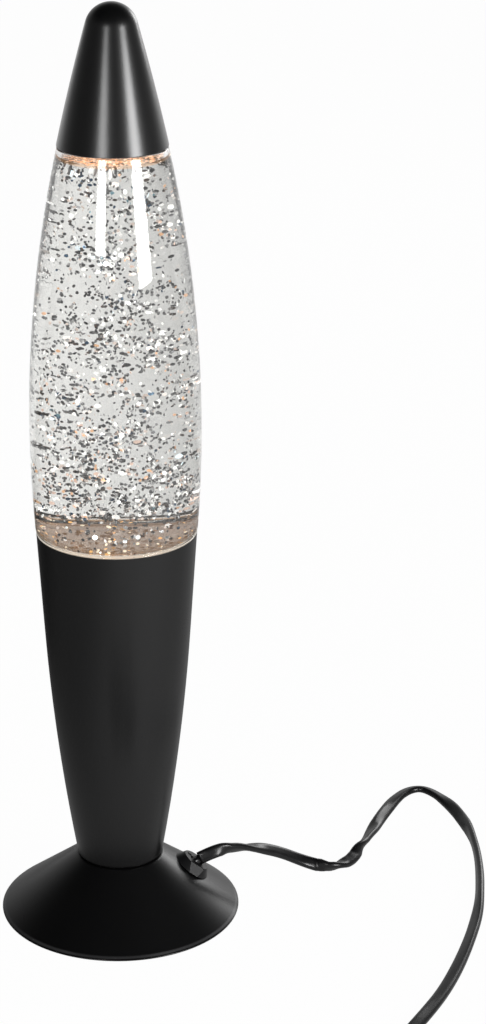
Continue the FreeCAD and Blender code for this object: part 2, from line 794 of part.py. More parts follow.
crown_curve = (crown_edge ** 2 + crown_rise ** 2) / (2 * crown_rise)
inner_crown_edge = crown_edge - 0.6 * w
inner_crown_rise = crown_curve - w - math.sqrt((crown_curve - w) ** 2 - inner_crown_edge ** 2)


def crown_bow(edge, rise):
    """Bow of an arc whose middle lies on the axis."""
    curve = (edge ** 2 + rise ** 2) / (2 * rise)
    return curve - math.sqrt(curve ** 2 - (edge ** 2 + rise ** 2) / 4)


envelope_corners = [
    (throat, shell_low + 3.0), (throat, shell_high), (bulb_neck_radius, shell_high + 3.0, 1.0),
    (bulb_neck_radius, neck_end), (bulb_radius, brim, 0, -bulb_swell), (crown_edge, bulb_top - crown_rise),
    (0, bulb_top, 0, -crown_bow(crown_edge, crown_rise)),
]
hollow_corners = [
    (0, bulb_top - w),
    (inner_crown_edge, bulb_top - w - inner_crown_rise, 0, crown_bow(inner_crown_edge, inner_crown_rise)),
    (bulb_radius - w, brim - 0.3 * w),
    (bulb_neck_radius - w, neck_end, 0, bulb_swell), (bulb_neck_radius - w, shell_high + 3.4, 0.8),
    (throat - w, shell_high + 0.4), (throat - w, shell_low + 3.0),
]
save("bulb_envelope", turned(envelope_corners + hollow_corners))
stem_low = shell_low + 3.0
bulb_stem = rod(stem_radius * 0.7, stem_low, stem_low + stem_height * 0.75)
bulb_stem = bulb_stem.fuse(turned([
    (0, stem_low), (throat - w - 0.1, stem_low), (stem_radius * 0.7, stem_low + 5.0), (0, stem_low + 5.0),
])).removeSplitter()
wire_high = stem_low + stem_height + 9.0
half_width = filament_width / 2
support = stem_low + stem_height * 0.75 - 2.0
supports = []
for side_sign in (-1, 1):
    route = [(side_sign * stem_radius * 0.4, 0, support), (side_sign * stem_radius * 0.4, 0, support + 6),
             (side_sign * half_width, 0, wire_high - 4), (side_sign * half_width, 0, wire_high)]
    supports.append(run_tube("filament support", route, 2 * filament_radius)[0])
supports = Part.makeCompound(supports)
save("bulb_stem", bulb_stem.cut(supports))
save("bulb_supports", supports)
coil_wire = Part.makeHelix(1.0, filament_width, 0.9)
coil_section = Part.Wire([Part.Circle(V(0.9, 0, 0), V(0, 1, 0), 0.28).toShape()])
filament = Part.Wire(coil_wire.Edges).makePipeShell([coil_section], True, True)
filament.Placement = FreeCAD.Placement(V(-half_width, 0, wire_high + 1.2), FreeCAD.Rotation(V(0, 1, 0), 90))
save("bulb_filament", filament)

# Flex inside the lamp, from the bushing's face to the lampholder, and its two cores
inner_points = [tuple(flex_exit), tuple(flex_exit - flex_direction * inner_reach)] + inner_run
inner_points += [(0, 0, tube_high - flex_diameter), (0, 0, tube_high + 1.0)]
inner_flex = run_tube("inner flex", inner_points)[0]
save("inner_flex", inner_flex)
cores = []
core_start = tube_high + 1.0
for side_sign in (-1, 1):
    x = side_sign * terminal_spacing / 2
    low = core_low - terminal_size
    route = [(side_sign * 1.0, 0, core_start), (side_sign * 1.0, 0, core_start + 2.0),
             (x, 0, low - 3.0), (x, 0, low + terminal_size * 0.5)]
    cores.append(run_tube("core", route, core_diameter)[0])
save("inner_cores", Part.makeCompound(cores))

# Flex on the table, from the bushing to the switch
flex_height = flex_diameter / 2 + flex_rest
switch_axis = switch_height / 2
switch_in = V(switch_x, switch_y, switch_axis)
lamp_points = [tuple(flex_exit), tuple(flex_exit + flex_direction * flex_straight)] + lamp_run
lamp_points += [tuple(switch_in + V(flex_straight, 0, 0)), tuple(switch_in)]
flex_run, flex_run_length = run_tube("flex from lamp to switch", lamp_points)
save("flex_lamp_to_switch", flex_run)

# Coil: spirals in on the table, climbs a layer where it turns back, and spirals out on top
switch_out = switch_in - V(switch_length, 0, 0)
turns_in = coil_turns / 2
spread = turns_in * coil_pitch
coil_outer = coil_middle_radius + spread / 2
coil_centre = V(switch_out.x - coil_gap_to_switch, switch_y - coil_outer, 0)
steps = int(coil_turns * 4)
half_turn = 2
middle_step = steps / 2
coil_height = flex_height + coil_lift


def coil_point(step):
    """Centre of the flex at a quarter turn, counted from the outside of the lower layer."""
    turn = math.pi / 2 + step * math.pi / 2
    away = abs(step - middle_step)
    grow = coil_pitch / 4
    inner = coil_outer - (middle_step - half_turn / 2) * grow
    if away < half_turn / 2:
        radius = inner - grow * (half_turn / 4) + grow * away ** 2 / half_turn
        share = (step - middle_step) / half_turn + 0.5
        height = coil_height + coil_layer_rise * share * share * (3 - 2 * share)
    else:
        radius = inner + grow * (away - half_turn / 2)
        height = coil_height + (coil_layer_rise if step > middle_step else 0)
    return coil_centre + V(radius * math.cos(turn), radius * math.sin(turn), height)


def coil_direction(step):
    small = 1e-4
    low = max(step - small, 0)
    high = min(step + small, steps)
    return (coil_point(high) - coil_point(low)).normalize()


def arc_from(start, direction, end):
    """Arc that leaves start along a direction and arrives at end."""
    chord = end - start
    along = V(chord).normalize()
    aside = direction - along * direction.dot(along)
    if aside.Length < 1e-7:
        return line_edge(start, end)
    angle = along.getAngle(direction)
    rise = chord.Length / 2 * math.tan(angle / 2)
    return arc_edge(start, start + chord * 0.5 + aside.normalize() * rise, end)


def two_arcs(start, leave, end, arrive):
    """Pair of arcs from one place and direction to another."""
    gap = end - start
    both = leave + arrive
    a = 2 * (1 - leave.dot(arrive))
    b = gap.dot(both)
    reach = (-b + math.sqrt(b * b + a * gap.dot(gap))) / a
    join = (start + end + (leave - arrive) * reach) * 0.5
    first_arc = arc_from(start, leave, join)
    direction = first_arc.tangentAt(first_arc.LastParameter)
    return [first_arc, arc_from(join, direction, end)]


coil_edges = []
for step in range(steps):
    after = step + 1
    coil_edges += two_arcs(coil_point(step), coil_direction(step), coil_point(after), coil_direction(after))
lead_in = coil_direction(0)
lead_out = coil_direction(steps)
coil_start = coil_point(0) - lead_in * flex_diameter
coil_end = coil_point(steps) + lead_out * flex_diameter
coil_edges = [line_edge(coil_start, coil_point(0))] + coil_edges + [line_edge(coil_point(steps), coil_end)]
flex_coil = tube_along(coil_edges, flex_diameter)
coil_length = sum(e.Length for e in coil_edges)
coil_area = math.pi * flex_diameter ** 2 / 4
print("coil length %.1f, volume over section times length %.4f"
      % (coil_length, flex_coil.Volume / (coil_length * coil_area)))

samples = []
travel = 0.0
for edge in coil_edges:
    count = max(3, int(edge.Length / 1.5))
    for place in edge.discretize(count)[:-1]:
        if samples:
            travel += place.distanceToPoint(samples[-1][1])
        samples.append((travel, place))
least = 1e9
for i, (far_a, a) in enumerate(samples):
    for far_b, b in samples[i + 1:]:
        if far_b - far_a > 30:
            least = min(least, a.distanceToPoint(b))
print("coil least gap to itself %.2f" % (least - flex_diameter))
save("flex_coil", flex_coil)

# Tie: a band round all the turns at the coil's +X side, its free end lapped on top
turns_there = [coil_point(step).x - coil_centre.x for step in range(3, steps, 4)]
tie_sag = min(turns_there) - math.sqrt(min(turns_there) ** 2 - tie_width ** 2 / 4)
tie_near = coil_centre.x + min(turns_there) - flex_diameter / 2 - tie_sag - tie_slack
tie_far = coil_centre.x + max(turns_there) + flex_diameter / 2 + tie_slack
tie_low = flex_rest + tie_thickness
tie_high = coil_height + coil_layer_rise + flex_diameter / 2 + tie_headroom


def band_block(grow):
    """Block with rounded corners that fills the tie, grown by a margin."""
    block = Part.makeBox(tie_far - tie_near + 2 * grow, tie_width, tie_high - tie_low + 2 * grow,
                         V(tie_near - grow, coil_centre.y - tie_width / 2, tie_low - grow))
    return block.makeFillet(tie_corner + grow, [e for e in block.Edges if e.BoundBox.YLength > tie_width - 1e-3])


flex_tie = band_block(tie_thickness).cut(band_block(0))
lap = Part.makeBox(tie_overlap, tie_width, tie_thickness,
                   V(tie_near + tie_corner, coil_centre.y - tie_width / 2, tie_high + tie_thickness))
save("flex_tie", flex_tie.fuse(lap).removeSplitter())

# Short stretch from the switch to the coil
lead = [tuple(switch_out), tuple(switch_out - V(flex_straight, 0, 0))]
lead += [tuple(coil_start - lead_in * flex_straight), tuple(coil_start)]
flex_lead, lead_length = run_tube("flex from switch to coil", lead)
save("flex_switch_to_coil", flex_lead)

# Plug beside the coil
plug_axis = plug_thickness / 2
boot_start = V(coil_end.x + plug_lead, coil_end.y - 1.0, plug_axis)
tail = [tuple(coil_end), tuple(coil_end + lead_out * flex_straight)]
tail += [tuple(boot_start - V(flex_straight, 0, 0)), tuple(boot_start)]
flex_tail, tail_length = run_tube("flex from coil to plug", tail)
save("flex_coil_to_plug", flex_tail)
total = flex_run_length + switch_length + lead_length + coil_length + tail_length
print("whole flex outside the lamp %.0f" % total)

boot_corners = [(0, 0), (boot_tip_radius, 0, 0.4)]
step_length = boot_length / boot_rings
for i in range(boot_rings):
    share = i / boot_rings
    radius = boot_tip_radius + (boot_root_radius - boot_tip_radius) * share
    if i:
        boot_corners.append((radius - 0.5, i * step_length))
        boot_corners.append((radius, i * step_length + 0.8))
    boot_corners.append((radius + 0.25, (i + 1) * step_length - 0.8))
    if i < boot_rings - 1:
        boot_corners.append((radius - 0.5, (i + 1) * step_length - 0.1))
boot_corners.append((boot_root_radius, boot_length))
boot_corners.append((0, boot_length))
plug_turn = FreeCAD.Rotation(UP, V(1, 0, 0))
boot = placed(turned(boot_corners), FreeCAD.Placement(boot_start, plug_turn))
save("plug_boot", boot)
plug_rear = boot_start + V(boot_length, 0, 0)
half_thick = plug_thickness / 2
half_wide = plug_width / 2
shape_points = [
    V(0, -half_wide * 0.52, 0), V(plug_length * 0.42, -half_wide, 0), V(plug_length, -half_wide, 0),
    V(plug_length, half_wide, 0), V(plug_length * 0.42, half_wide, 0), V(0, half_wide * 0.52, 0),
]
plug_face = Part.Face(Part.makePolygon(shape_points + shape_points[:1]))
plug_block = plug_face.extrude(UP * plug_thickness)
plug_block = plug_block.makeFillet(plug_corner, [e for e in plug_block.Edges if e.BoundBox.ZLength < 1e-6])
plug_block.Placement = FreeCAD.Placement(plug_rear - UP * half_thick, FreeCAD.Rotation())
pin_holes = []
pins = []
sleeves = []
pin_face = plug_rear.x + plug_length
for side_sign in (-1, 1):
    root = V(pin_face - pin_root, plug_rear.y + side_sign * pin_spacing / 2, plug_axis)
    pin = Part.makeCylinder(pin_radius, pin_root + pin_length, root, V(1, 0, 0))
    nose = [e for e in pin.Edges if e.BoundBox.XMin > root.x + pin_root + pin_length - 1e-3]
    pin = pin.makeFillet(pin_radius * 0.6, nose)
    face_place = V(pin_face, root.y, plug_axis)
    slim = Part.makeCylinder(pin_radius - pin_waist, pin_sleeve_length, face_place, V(1, 0, 0))
    around = Part.makeCylinder(pin_radius + 1, pin_sleeve_length, face_place, V(1, 0, 0))
    pins.append(pin.cut(around.cut(slim)))
    sleeve = Part.makeCylinder(pin_radius, pin_sleeve_length, face_place, V(1, 0, 0))
    sleeves.append(sleeve.cut(slim))
    pin_holes.append(Part.makeCylinder(pin_radius, pin_root, root, V(1, 0, 0)))
save("plug_body", plug_block.cut(Part.makeCompound(pin_holes)))
save("plug_pins", Part.makeCompound(pins))
save("plug_pin_sleeves", Part.makeCompound(sleeves))

# Switch: two shells that meet at the flex, a rocker on its pivot, blade, terminals and screws
centre = switch_in - V(switch_length / 2, 0, switch_axis)


def switch_outline(inset):
    """Plan of the switch: a long body that narrows towards the flex at each end."""
    half_long = switch_length / 2 - inset
    half = switch_width / 2 - inset
    taper = switch_length * 0.2
    nose = flex_diameter / 2 + 2.4 - inset * 0.4
    side_points = [V(-half_long, -nose, 0), V(-half_long + taper, -half, 0), V(half_long - taper, -half, 0),
                   V(half_long, -nose, 0), V(half_long, nose, 0), V(half_long - taper, half, 0),
                   V(-half_long + taper, half, 0), V(-half_long, nose, 0)]
    return Part.Face(Part.makePolygon(side_points + side_points[:1]))


def switch_half(low, high, edge_height):
    block = switch_outline(0).extrude(UP * (high - low))
    block.translate(UP * low)
    outer = [e for e in block.Edges
             if abs(e.BoundBox.ZMin - edge_height) < 1e-6 and abs(e.BoundBox.ZMax - edge_height) < 1e-6]
    return block.makeFillet(2.2, outer)


def flex_bore():
    """Round way for the flex, into each end of the switch."""
    ends = []
    for side_sign in (-1, 1):
        start = V(side_sign * switch_length / 2, 0, switch_axis)
        ends.append(Part.makeCylinder(flex_diameter / 2 - 0.3, switch_end + 0.5, start, V(-side_sign, 0, 0)))
    return Part.makeCompound(ends)


cavity = switch_outline(switch_wall).extrude(UP * (switch_height - 2 * switch_wall))
cavity.translate(UP * switch_wall)
cavity_limits = Part.makeBox(switch_length - 2 * switch_end, switch_width, switch_height,
                             V(-switch_length / 2 + switch_end, -switch_width / 2, 0))
cavity = cavity.common(cavity_limits)
lower = switch_half(0, switch_axis, 0).cut(cavity).cut(flex_bore())
upper = switch_half(switch_axis, switch_height, switch_height).cut(cavity).cut(flex_bore())
window_long = rocker_length + 2 * rocker_gap
window_wide = rocker_width + 2 * rocker_gap
window = Part.makeBox(window_long, window_wide, switch_wall * 2,
                      V(-window_long / 2, -window_wide / 2, switch_height - switch_wall * 1.5))
pivot_height = switch_height - switch_wall - 1.0
cheek_low = switch_axis + 0.2
cheek_high = switch_height - switch_wall * 0.5
cheek_face = rocker_width / 2 + moving_gap
cheeks = []
for side_sign in (-1, 1):
    low_y = cheek_face if side_sign > 0 else -cheek_face - cheek_thickness
    cheeks.append(Part.makeBox(cheek_length, cheek_thickness, cheek_high - cheek_low,
                               V(-cheek_length / 2, low_y, cheek_low)))
pivot_hole = Part.makeCylinder(pivot_radius + pivot_clearance, rocker_width + 2 * pivot_length + 0.4,
                               V(0, -rocker_width / 2 - pivot_length - 0.2, pivot_height), V(0, 1, 0))
upper = upper.cut(window)
upper = upper.fuse(cheeks).removeSplitter().cut(pivot_hole)
posts = []
screw_list = []
for side_sign in (-1, 1):
    x = side_sign * switch_screw_spacing / 2
    y = side_sign * (switch_width / 2 - switch_wall - 2.6)
    posts.append((x, y))
lower_posts = [rod(2.6, switch_wall * 0.5, switch_axis, x, y) for x, y in posts]
upper_posts = [rod(2.6, switch_axis, switch_height - switch_wall * 0.5, x, y) for x, y in posts]
screw_ways = [rod(switch_screw_radius + 0.1, -1, switch_axis + 4.2, x, y) for x, y in posts]
head_ways = [rod(2.5, -1, 1.4, x, y) for x, y in posts]
screw_ways = Part.makeCompound(screw_ways)
lower = lower.fuse(lower_posts).removeSplitter().cut(screw_ways).cut(Part.makeCompound(head_ways))
upper = upper.fuse(upper_posts).removeSplitter().cut(screw_ways)
switch_place = FreeCAD.Placement(centre, FreeCAD.Rotation())
save("switch_lower_shell", placed(lower, switch_place))
save("switch_upper_shell", placed(upper, switch_place))
for x, y in posts:
    screw = rod(switch_screw_radius, 0.4, switch_axis + 3.8, x, y)
    screw = screw.fuse(rod(2.3, 0.2, 1.3, x, y)).removeSplitter()
    cross = Part.makeBox(3.0, 0.6, 0.6, V(x - 1.5, y - 0.3, 0.0)).fuse(
        Part.makeBox(0.6, 3.0, 0.6, V(x - 0.3, y - 1.5, 0.0)))
    screw_list.append(placed(screw.cut(cross), switch_place))
save("switch_screws", Part.makeCompound(screw_list))

# Rocker: drawn level, then tipped to its on position about the pivot
reach = rocker_length / 2
horn = switch_height + rocker_proud - reach * math.sin(math.radians(rocker_travel))
shoulder_low = pivot_height - 1.6
nose_low = pivot_height - rocker_depth
rocker_side = Part.Wire([
    line_edge(V(-reach, 0, shoulder_low), V(-reach, 0, horn)),
    arc_edge(V(-reach, 0, horn), V(0, 0, horn - 1.0), V(reach, 0, horn)),
    line_edge(V(reach, 0, horn), V(reach, 0, shoulder_low)),
    line_edge(V(reach, 0, shoulder_low), V(1.6, 0, nose_low + 1.6)),
    arc_edge(V(1.6, 0, nose_low + 1.6), V(0, 0, nose_low), V(-1.6, 0, nose_low + 1.6)),
    line_edge(V(-1.6, 0, nose_low + 1.6), V(-reach, 0, shoulder_low)),
])
rocker = Part.Face(rocker_side).extrude(V(0, rocker_width, 0))
rocker.translate(V(0, -rocker_width / 2, 0))
pivot = Part.makeCylinder(pivot_radius, rocker_width + 2 * pivot_length,
                          V(0, -rocker_width / 2 - pivot_length, pivot_height), V(0, 1, 0))
rocker = rocker.fuse(pivot).removeSplitter()
rocker.rotate(V(0, 0, pivot_height), V(0, 1, 0), -rocker_travel)
save("switch_rocker", placed(rocker.copy(), switch_place.multiply(rocker.Placement)))
pivot_world = centre + UP * pivot_height
print("rocker pivot at %.2f %.2f %.2f" % tuple(pivot_world))

# Spring blade under the rocker, the two terminals and the cores that run through the switch
floor = switch_wall
blade_top = pivot_height - rocker_depth - moving_gap
blade = Part.makeBox(blade_length, blade_width, blade_thickness,
                     V(-blade_length / 2, -blade_width / 2, blade_top - blade_thickness))
for side_sign in (-1, 1):
    leg_x = side_sign * (blade_length / 2 - blade_thickness / 2) - blade_thickness / 2
    leg_corner = V(leg_x, -blade_width / 2, floor)
    blade = blade.fuse(Part.makeBox(blade_thickness, blade_width, blade_top - floor, leg_corner))
save("switch_blade", placed(blade.removeSplitter(), switch_place))
screw_line = floor + terminal_height / 2
blocks = []
for side_sign in (-1, 1):
    x = side_sign * switch_terminal_x
    block = Part.makeBox(5.0, 4.0, terminal_height, V(x - 2.5, -2.0, floor))
    way_start = V(x + side_sign * 2.5, 0, screw_line)
    way = Part.makeCylinder(core_diameter / 2 + 0.1, 3.0, way_start, V(-side_sign, 0, 0))
    blocks.append(placed(block.cut(way), switch_place))
save("switch_terminals", Part.makeCompound(blocks))
mouth_x = switch_length / 2
aside = core_diameter / 2 + 0.05
inner_x = mouth_x - switch_end - 1.0
switch_cores = []
for side_sign in (-1, 1):
    route = [(side_sign * mouth_x, aside, switch_axis), (side_sign * inner_x, aside, switch_axis),
             (side_sign * (switch_terminal_x + 6.0), 0, screw_line),
             (side_sign * (switch_terminal_x + 0.6), 0, screw_line)]
    switch_cores.append(run_tube("switched core", route, core_diameter)[0])
through = [(mouth_x, -aside, switch_axis), (inner_x, -aside, switch_axis), (12.0, -4.2, 4.4), (0, -4.6, 3.8),
           (-12.0, -4.2, 4.4), (-inner_x, -aside, switch_axis), (-mouth_x, -aside, switch_axis)]
switch_cores.append(run_tube("through core", through, core_diameter)[0])
for core_piece in switch_cores:
    core_piece.Placement = switch_place
save("switch_cores", Part.makeCompound(switch_cores))
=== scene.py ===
"""Looks of the glitter table lamp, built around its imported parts.

Metres, +Z up, origin on the table under the middle of the foot. +X is the side that the flex
leaves.
"""
import json
import math
import random

import bmesh
import bpy
from bpy.props import FloatProperty, FloatVectorProperty, IntProperty, PointerProperty
from mathutils import Matrix, Vector

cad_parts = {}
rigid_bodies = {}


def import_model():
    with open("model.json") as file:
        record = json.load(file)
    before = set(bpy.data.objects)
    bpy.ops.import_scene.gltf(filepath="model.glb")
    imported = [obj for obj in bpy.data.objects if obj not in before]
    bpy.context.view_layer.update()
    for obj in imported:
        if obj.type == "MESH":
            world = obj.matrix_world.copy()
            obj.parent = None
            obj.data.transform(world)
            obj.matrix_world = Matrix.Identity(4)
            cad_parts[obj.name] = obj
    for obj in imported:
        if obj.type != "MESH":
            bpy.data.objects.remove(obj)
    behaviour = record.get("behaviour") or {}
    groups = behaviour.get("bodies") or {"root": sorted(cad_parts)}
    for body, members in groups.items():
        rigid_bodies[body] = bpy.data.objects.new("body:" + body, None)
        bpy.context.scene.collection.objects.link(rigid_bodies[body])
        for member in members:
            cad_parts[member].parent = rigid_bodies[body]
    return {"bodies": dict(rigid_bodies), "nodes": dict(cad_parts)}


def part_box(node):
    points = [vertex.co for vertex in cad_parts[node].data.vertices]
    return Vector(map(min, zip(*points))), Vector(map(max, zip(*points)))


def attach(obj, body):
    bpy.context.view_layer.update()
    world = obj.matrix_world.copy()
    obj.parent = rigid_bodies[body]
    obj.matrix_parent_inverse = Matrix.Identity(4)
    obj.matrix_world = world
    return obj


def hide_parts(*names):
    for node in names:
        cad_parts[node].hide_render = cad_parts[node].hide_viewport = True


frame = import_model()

bl_info = {
    "name": "Glitter Table Lamp",
    "version": (1, 0, 0),
    "blender": (4, 5, 0),
    "location": "View3D > Sidebar > Lamp",
    "description": "Builds the looks of a glitter table lamp around its parts",
    "category": "Add Mesh",
}

NODES = frame["nodes"]
for startup_object in set(bpy.data.objects) - set(NODES.values()) - set(frame["bodies"].values()):
    bpy.data.objects.remove(startup_object)
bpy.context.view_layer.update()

MM = 0.001
UP = Vector((0, 0, 1))

# Heights read from the frame
BOTTLE_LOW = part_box("bottle_glass")[0].z
LIQUID_LOW, LIQUID_HIGH = (corner.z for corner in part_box("bottle_liquid"))
CAP_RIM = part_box("cap")[0].z


class LampSizes(bpy.types.PropertyGroup):
    """Sizes of the pieces that are made here."""

    flake_count: IntProperty(
        name="Flakes", description="How many glitter flakes drift in the bottle",
        default=6000, min=200)
    flake_across: FloatProperty(
        name="Flake width", description="Width of a large flake across its corners",
        default=1.6 * MM, unit="LENGTH", precision=5)
    flake_thickness: FloatProperty(
        name="Flake thickness", description="Thickness of the glitter film",
        default=0.06 * MM, unit="LENGTH", precision=5)
    flex_width: FloatProperty(
        name="Flex width", description="Width of the flat twin flex",
        default=6.0 * MM, unit="LENGTH", precision=5)
    flex_thickness: FloatProperty(
        name="Flex thickness", description="Thickness of the flat twin flex",
        default=3.3 * MM, unit="LENGTH", precision=5)


class LampColours(bpy.types.PropertyGroup):
    """Colours of the finishes."""

    paint: FloatVectorProperty(
        name="Paint", description="Satin black paint of foot, housing and cap",
        subtype="COLOR", size=3, min=0, max=1, default=(0.0028, 0.0028, 0.003))
    pvc: FloatVectorProperty(
        name="Flex", description="Black sheath of the flex",
        subtype="COLOR", size=3, min=0, max=1, default=(0.004, 0.004, 0.0045))
    plastic: FloatVectorProperty(
        name="Plastic", description="Moulded parts of switch, plug and bushing",
        subtype="COLOR", size=3, min=0, max=1, default=(0.006, 0.006, 0.0065))
    liquid: FloatVectorProperty(
        name="Liquid", description="Faint tint of the clear liquid",
        subtype="COLOR", size=3, min=0, max=1, default=(0.84, 0.838, 0.812))
    glow: FloatVectorProperty(
        name="Glow", description="Warm light of the bulb",
        subtype="COLOR", size=3, min=0, max=1, default=(1.0, 0.52, 0.2))


class Link:
    """A shader socket that takes part in arithmetic."""

    def __init__(self, shading, socket):
        self.shading = shading
        self.socket = socket

    def worked(self, operation, left, right):
        return self.shading.add("ShaderNodeMath", {"operation": operation}, [left, right])

    def __add__(self, other):
        return self.worked("ADD", self, other)

    def __radd__(self, other):
        return self.worked("ADD", other, self)

    def __sub__(self, other):
        return self.worked("SUBTRACT", self, other)

    def __rsub__(self, other):
        return self.worked("SUBTRACT", other, self)

    def __mul__(self, other):
        return self.worked("MULTIPLY", self, other)

    def __rmul__(self, other):
        return self.worked("MULTIPLY", other, self)

    def held(self):
        """The value kept between 0 and 1."""
        return self.shading.add("ShaderNodeClamp", {}, [self, 0.0, 1.0])


class Shading:
    """A node tree, and the ways to add nodes to it and join them."""

    def __init__(self, tree):
        self.tree = tree

    def own(self, kind):
        """The node of a kind that the tree already has."""
        return next(node for node in self.tree.nodes if node.type == kind)

    def fill(self, node, values):
        """Give a node's sockets their values or links."""
        pairs = values.items() if isinstance(values, dict) else enumerate(values)
        for key, value in pairs:
            if isinstance(value, Link):
                self.tree.links.new(value.socket, node.inputs[key])
            else:
                node.inputs[key].default_value = value

    def add(self, kind, settings=None, values=(), output=0):
        """A node of a kind, with its settings, then the values or links of its sockets."""
        node = self.tree.nodes.new(kind)
        for key, value in (settings or {}).items():
            setattr(node, key, value)
        self.fill(node, values)
        return Link(self, node.outputs[output])

    def step(self, value, low, high):
        """0 below low, 1 above high, smooth between them."""
        return self.add("ShaderNodeMapRange", {"interpolation_type": "SMOOTHSTEP"}, {
            "Value": value, "From Min": low, "From Max": high, "To Min": 0.0, "To Max": 1.0})

    def along(self, source, axis):
        """One coordinate of the object's space, or of the world's directions."""
        place = self.add("ShaderNodeTexCoord", output=source)
        return self.add("ShaderNodeSeparateXYZ", {}, [place], output=axis)

    def ray(self, kind):
        """1 for a ray of that kind, and 0 for any other."""
        return self.add("ShaderNodeLightPath", output=f"Is {kind} Ray")


class Finish(Shading):
    """A material on a Principled shader, with the nodes that vary it."""

    def __init__(self, name, colour, roughness, **steady):
        self.material = bpy.data.materials.new(name)
        self.material.use_nodes = True
        super().__init__(self.material.node_tree)
        self.shader = self.own("BSDF_PRINCIPLED")
        self.vary(Base_Color=(*colour, 1), Roughness=roughness, **steady)

    def vary(self, **values):
        """Give the shader's sockets their values, or links that change over the surface."""
        self.fill(self.shader, {key.replace("_", " "): value for key, value in values.items()})

    def lay_over(self, share, other):
        """Show another shader in place of this one, by a share."""
        both = self.add("ShaderNodeMixShader", {}, {
            0: share, 1: Link(self, self.shader.outputs[0]), 2: other})
        self.fill(self.own("OUTPUT_MATERIAL"), {"Surface": both})

    def spot(self):
        return self.add("ShaderNodeTexCoord", output="Object")

    def scaled(self, x, y, z):
        """Object coordinates times a scale along each axis."""
        return self.add("ShaderNodeMapping", {}, {"Vector": self.spot(), "Scale": (x, y, z)})

    def part(self, axis):
        """One coordinate of the spot in object space."""
        return self.along("Object", axis)

    def above(self, low, high):
        """0 under the height low, 1 over the height high, smooth between them."""
        return self.step(self.part("Z"), low, high)

    def noise(self, size, detail=2.0, roughness=0.5, where=None):
        """Soft noise whose features are about size metres across."""
        return self.add("ShaderNodeTexNoise", {}, {
            "Vector": where or self.spot(), "Scale": 1 / size, "Detail": detail,
            "Roughness": roughness})

    def cells(self, size, feature="F1"):
        """Distance from the middle, or from the edge, of cells about size metres across."""
        return self.add("ShaderNodeTexVoronoi", {"feature": feature}, {
            "Vector": self.spot(), "Scale": 1 / size})

    def mark(self, name):
        """A colour that the mesh carries under a name."""
        return self.add("ShaderNodeAttribute", {"attribute_name": name}, output="Color")

    def mix(self, share, first, second):
        """Colour between two colours."""
        colour_a, colour_b, colour_out = 6, 7, 2
        values = {0: share}
        for key, colour in ((colour_a, first), (colour_b, second)):
            values[key] = colour if isinstance(colour, Link) else (*colour, 1)
        return self.add("ShaderNodeMix", {"data_type": "RGBA"}, values, output=colour_out)

    def edges(self, radius):
        """0 on open surfaces and up to 1 on edges.

        They are found by comparing a bevelled normal with the true one.
        """
        contrast = 4.0
        soft = self.add("ShaderNodeBevel", {"samples": 6}, {"Radius": radius})
        true = self.add("ShaderNodeNewGeometry", output="Normal")
        match = self.add("ShaderNodeVectorMath", {"operation": "DOT_PRODUCT"}, [soft, true],
                         output="Value")
        return ((1.0 - match) * contrast).held()

    def bump(self, height, depth, strength):
        return self.add("ShaderNodeBump", {}, {
            "Height": height, "Distance": depth, "Strength": strength})


def tuned(colour, share):
    """A colour made lighter or darker by a share."""
    return tuple(min(1.0, channel * share) for channel in colour)


def paint_finish(colours):
    """Satin black paint: fine orange peel, dust in patches, paler on rubbed edges.

    The cap has more gloss than the rest; a paler band on the foot's rolled edge is a painted
    highlight.
    """
    f = Finish("satin_black_paint", colours.paint, 0.3, Specular_IOR_Level=0.5,
               Coat_Roughness=0.24)
    glossier = f.above(CAP_RIM - 2 * MM, CAP_RIM - 1 * MM)
    peel = f.noise(0.9 * MM, 3, 0.55)
    patches = f.noise(34 * MM, 4, 0.6)
    rubbed = f.edges(0.5 * MM) * f.step(f.noise(3 * MM, 4), 0.42, 0.7)
    dust = f.step(f.noise(0.55 * MM, 1), 0.74, 0.8) * f.step(patches, 0.4, 0.75)
    # Painted highlight: a paler band round the foot's rolled edge, where its curve would catch
    # the light.
    rolled_edge = f.above(1.1 * MM, 1.4 * MM) * (1.0 - f.above(1.7 * MM, 2.2 * MM))
    painted_edge_highlight = rolled_edge * (0.3 + f.step(f.noise(40 * MM, 2), 0.4, 0.65) * 0.4)
    # Paler: real rubbing and dust, and the painted edge highlight.
    paler = (rubbed * 0.3 + dust * 0.06 + painted_edge_highlight).held()
    f.vary(
        Base_Color=f.mix(paler, colours.paint, (0.08, 0.08, 0.083)),
        Roughness=0.24 + patches * 0.07 + rubbed * 0.06 + peel * 0.03,
        Coat_Weight=glossier * 0.3,
        Normal=f.bump(peel, 0.012 * MM, 0.35),
    )


def pvc_finish(colours):
    """Soft black PVC: half gloss, drawn faintly along its length, with handling marks."""
    f = Finish("flex_pvc", colours.pvc, 0.3, Specular_IOR_Level=0.5)
    skin = f.noise(0.35 * MM, 3, 0.6)
    marks = f.noise(7 * MM, 5, 0.65)
    f.vary(
        Base_Color=f.mix(f.step(marks, 0.45, 0.8) * 0.25, colours.pvc, (0.03, 0.03, 0.032)),
        Roughness=0.2 + marks * 0.14 + skin * 0.06,
        Normal=f.bump(skin, 0.015 * MM, 0.5),
    )


def plastic_finish(colours):
    """Moulded black plastic with an eroded texture and slightly worn edges."""
    f = Finish("black_plastic", colours.plastic, 0.35, Specular_IOR_Level=0.3)
    grain = f.cells(0.28 * MM)
    marks = f.noise(9 * MM, 4, 0.6)
    rubbed = f.edges(0.35 * MM)
    paler = (rubbed * 0.3 + marks * 0.05).held()
    f.vary(
        Base_Color=f.mix(paler, colours.plastic, (0.07, 0.07, 0.073)),
        Roughness=0.27 + marks * 0.12 - rubbed * 0.06,
        Normal=f.bump(grain + f.noise(0.6 * MM, 2) * 0.5, 0.01 * MM, 0.4),
    )


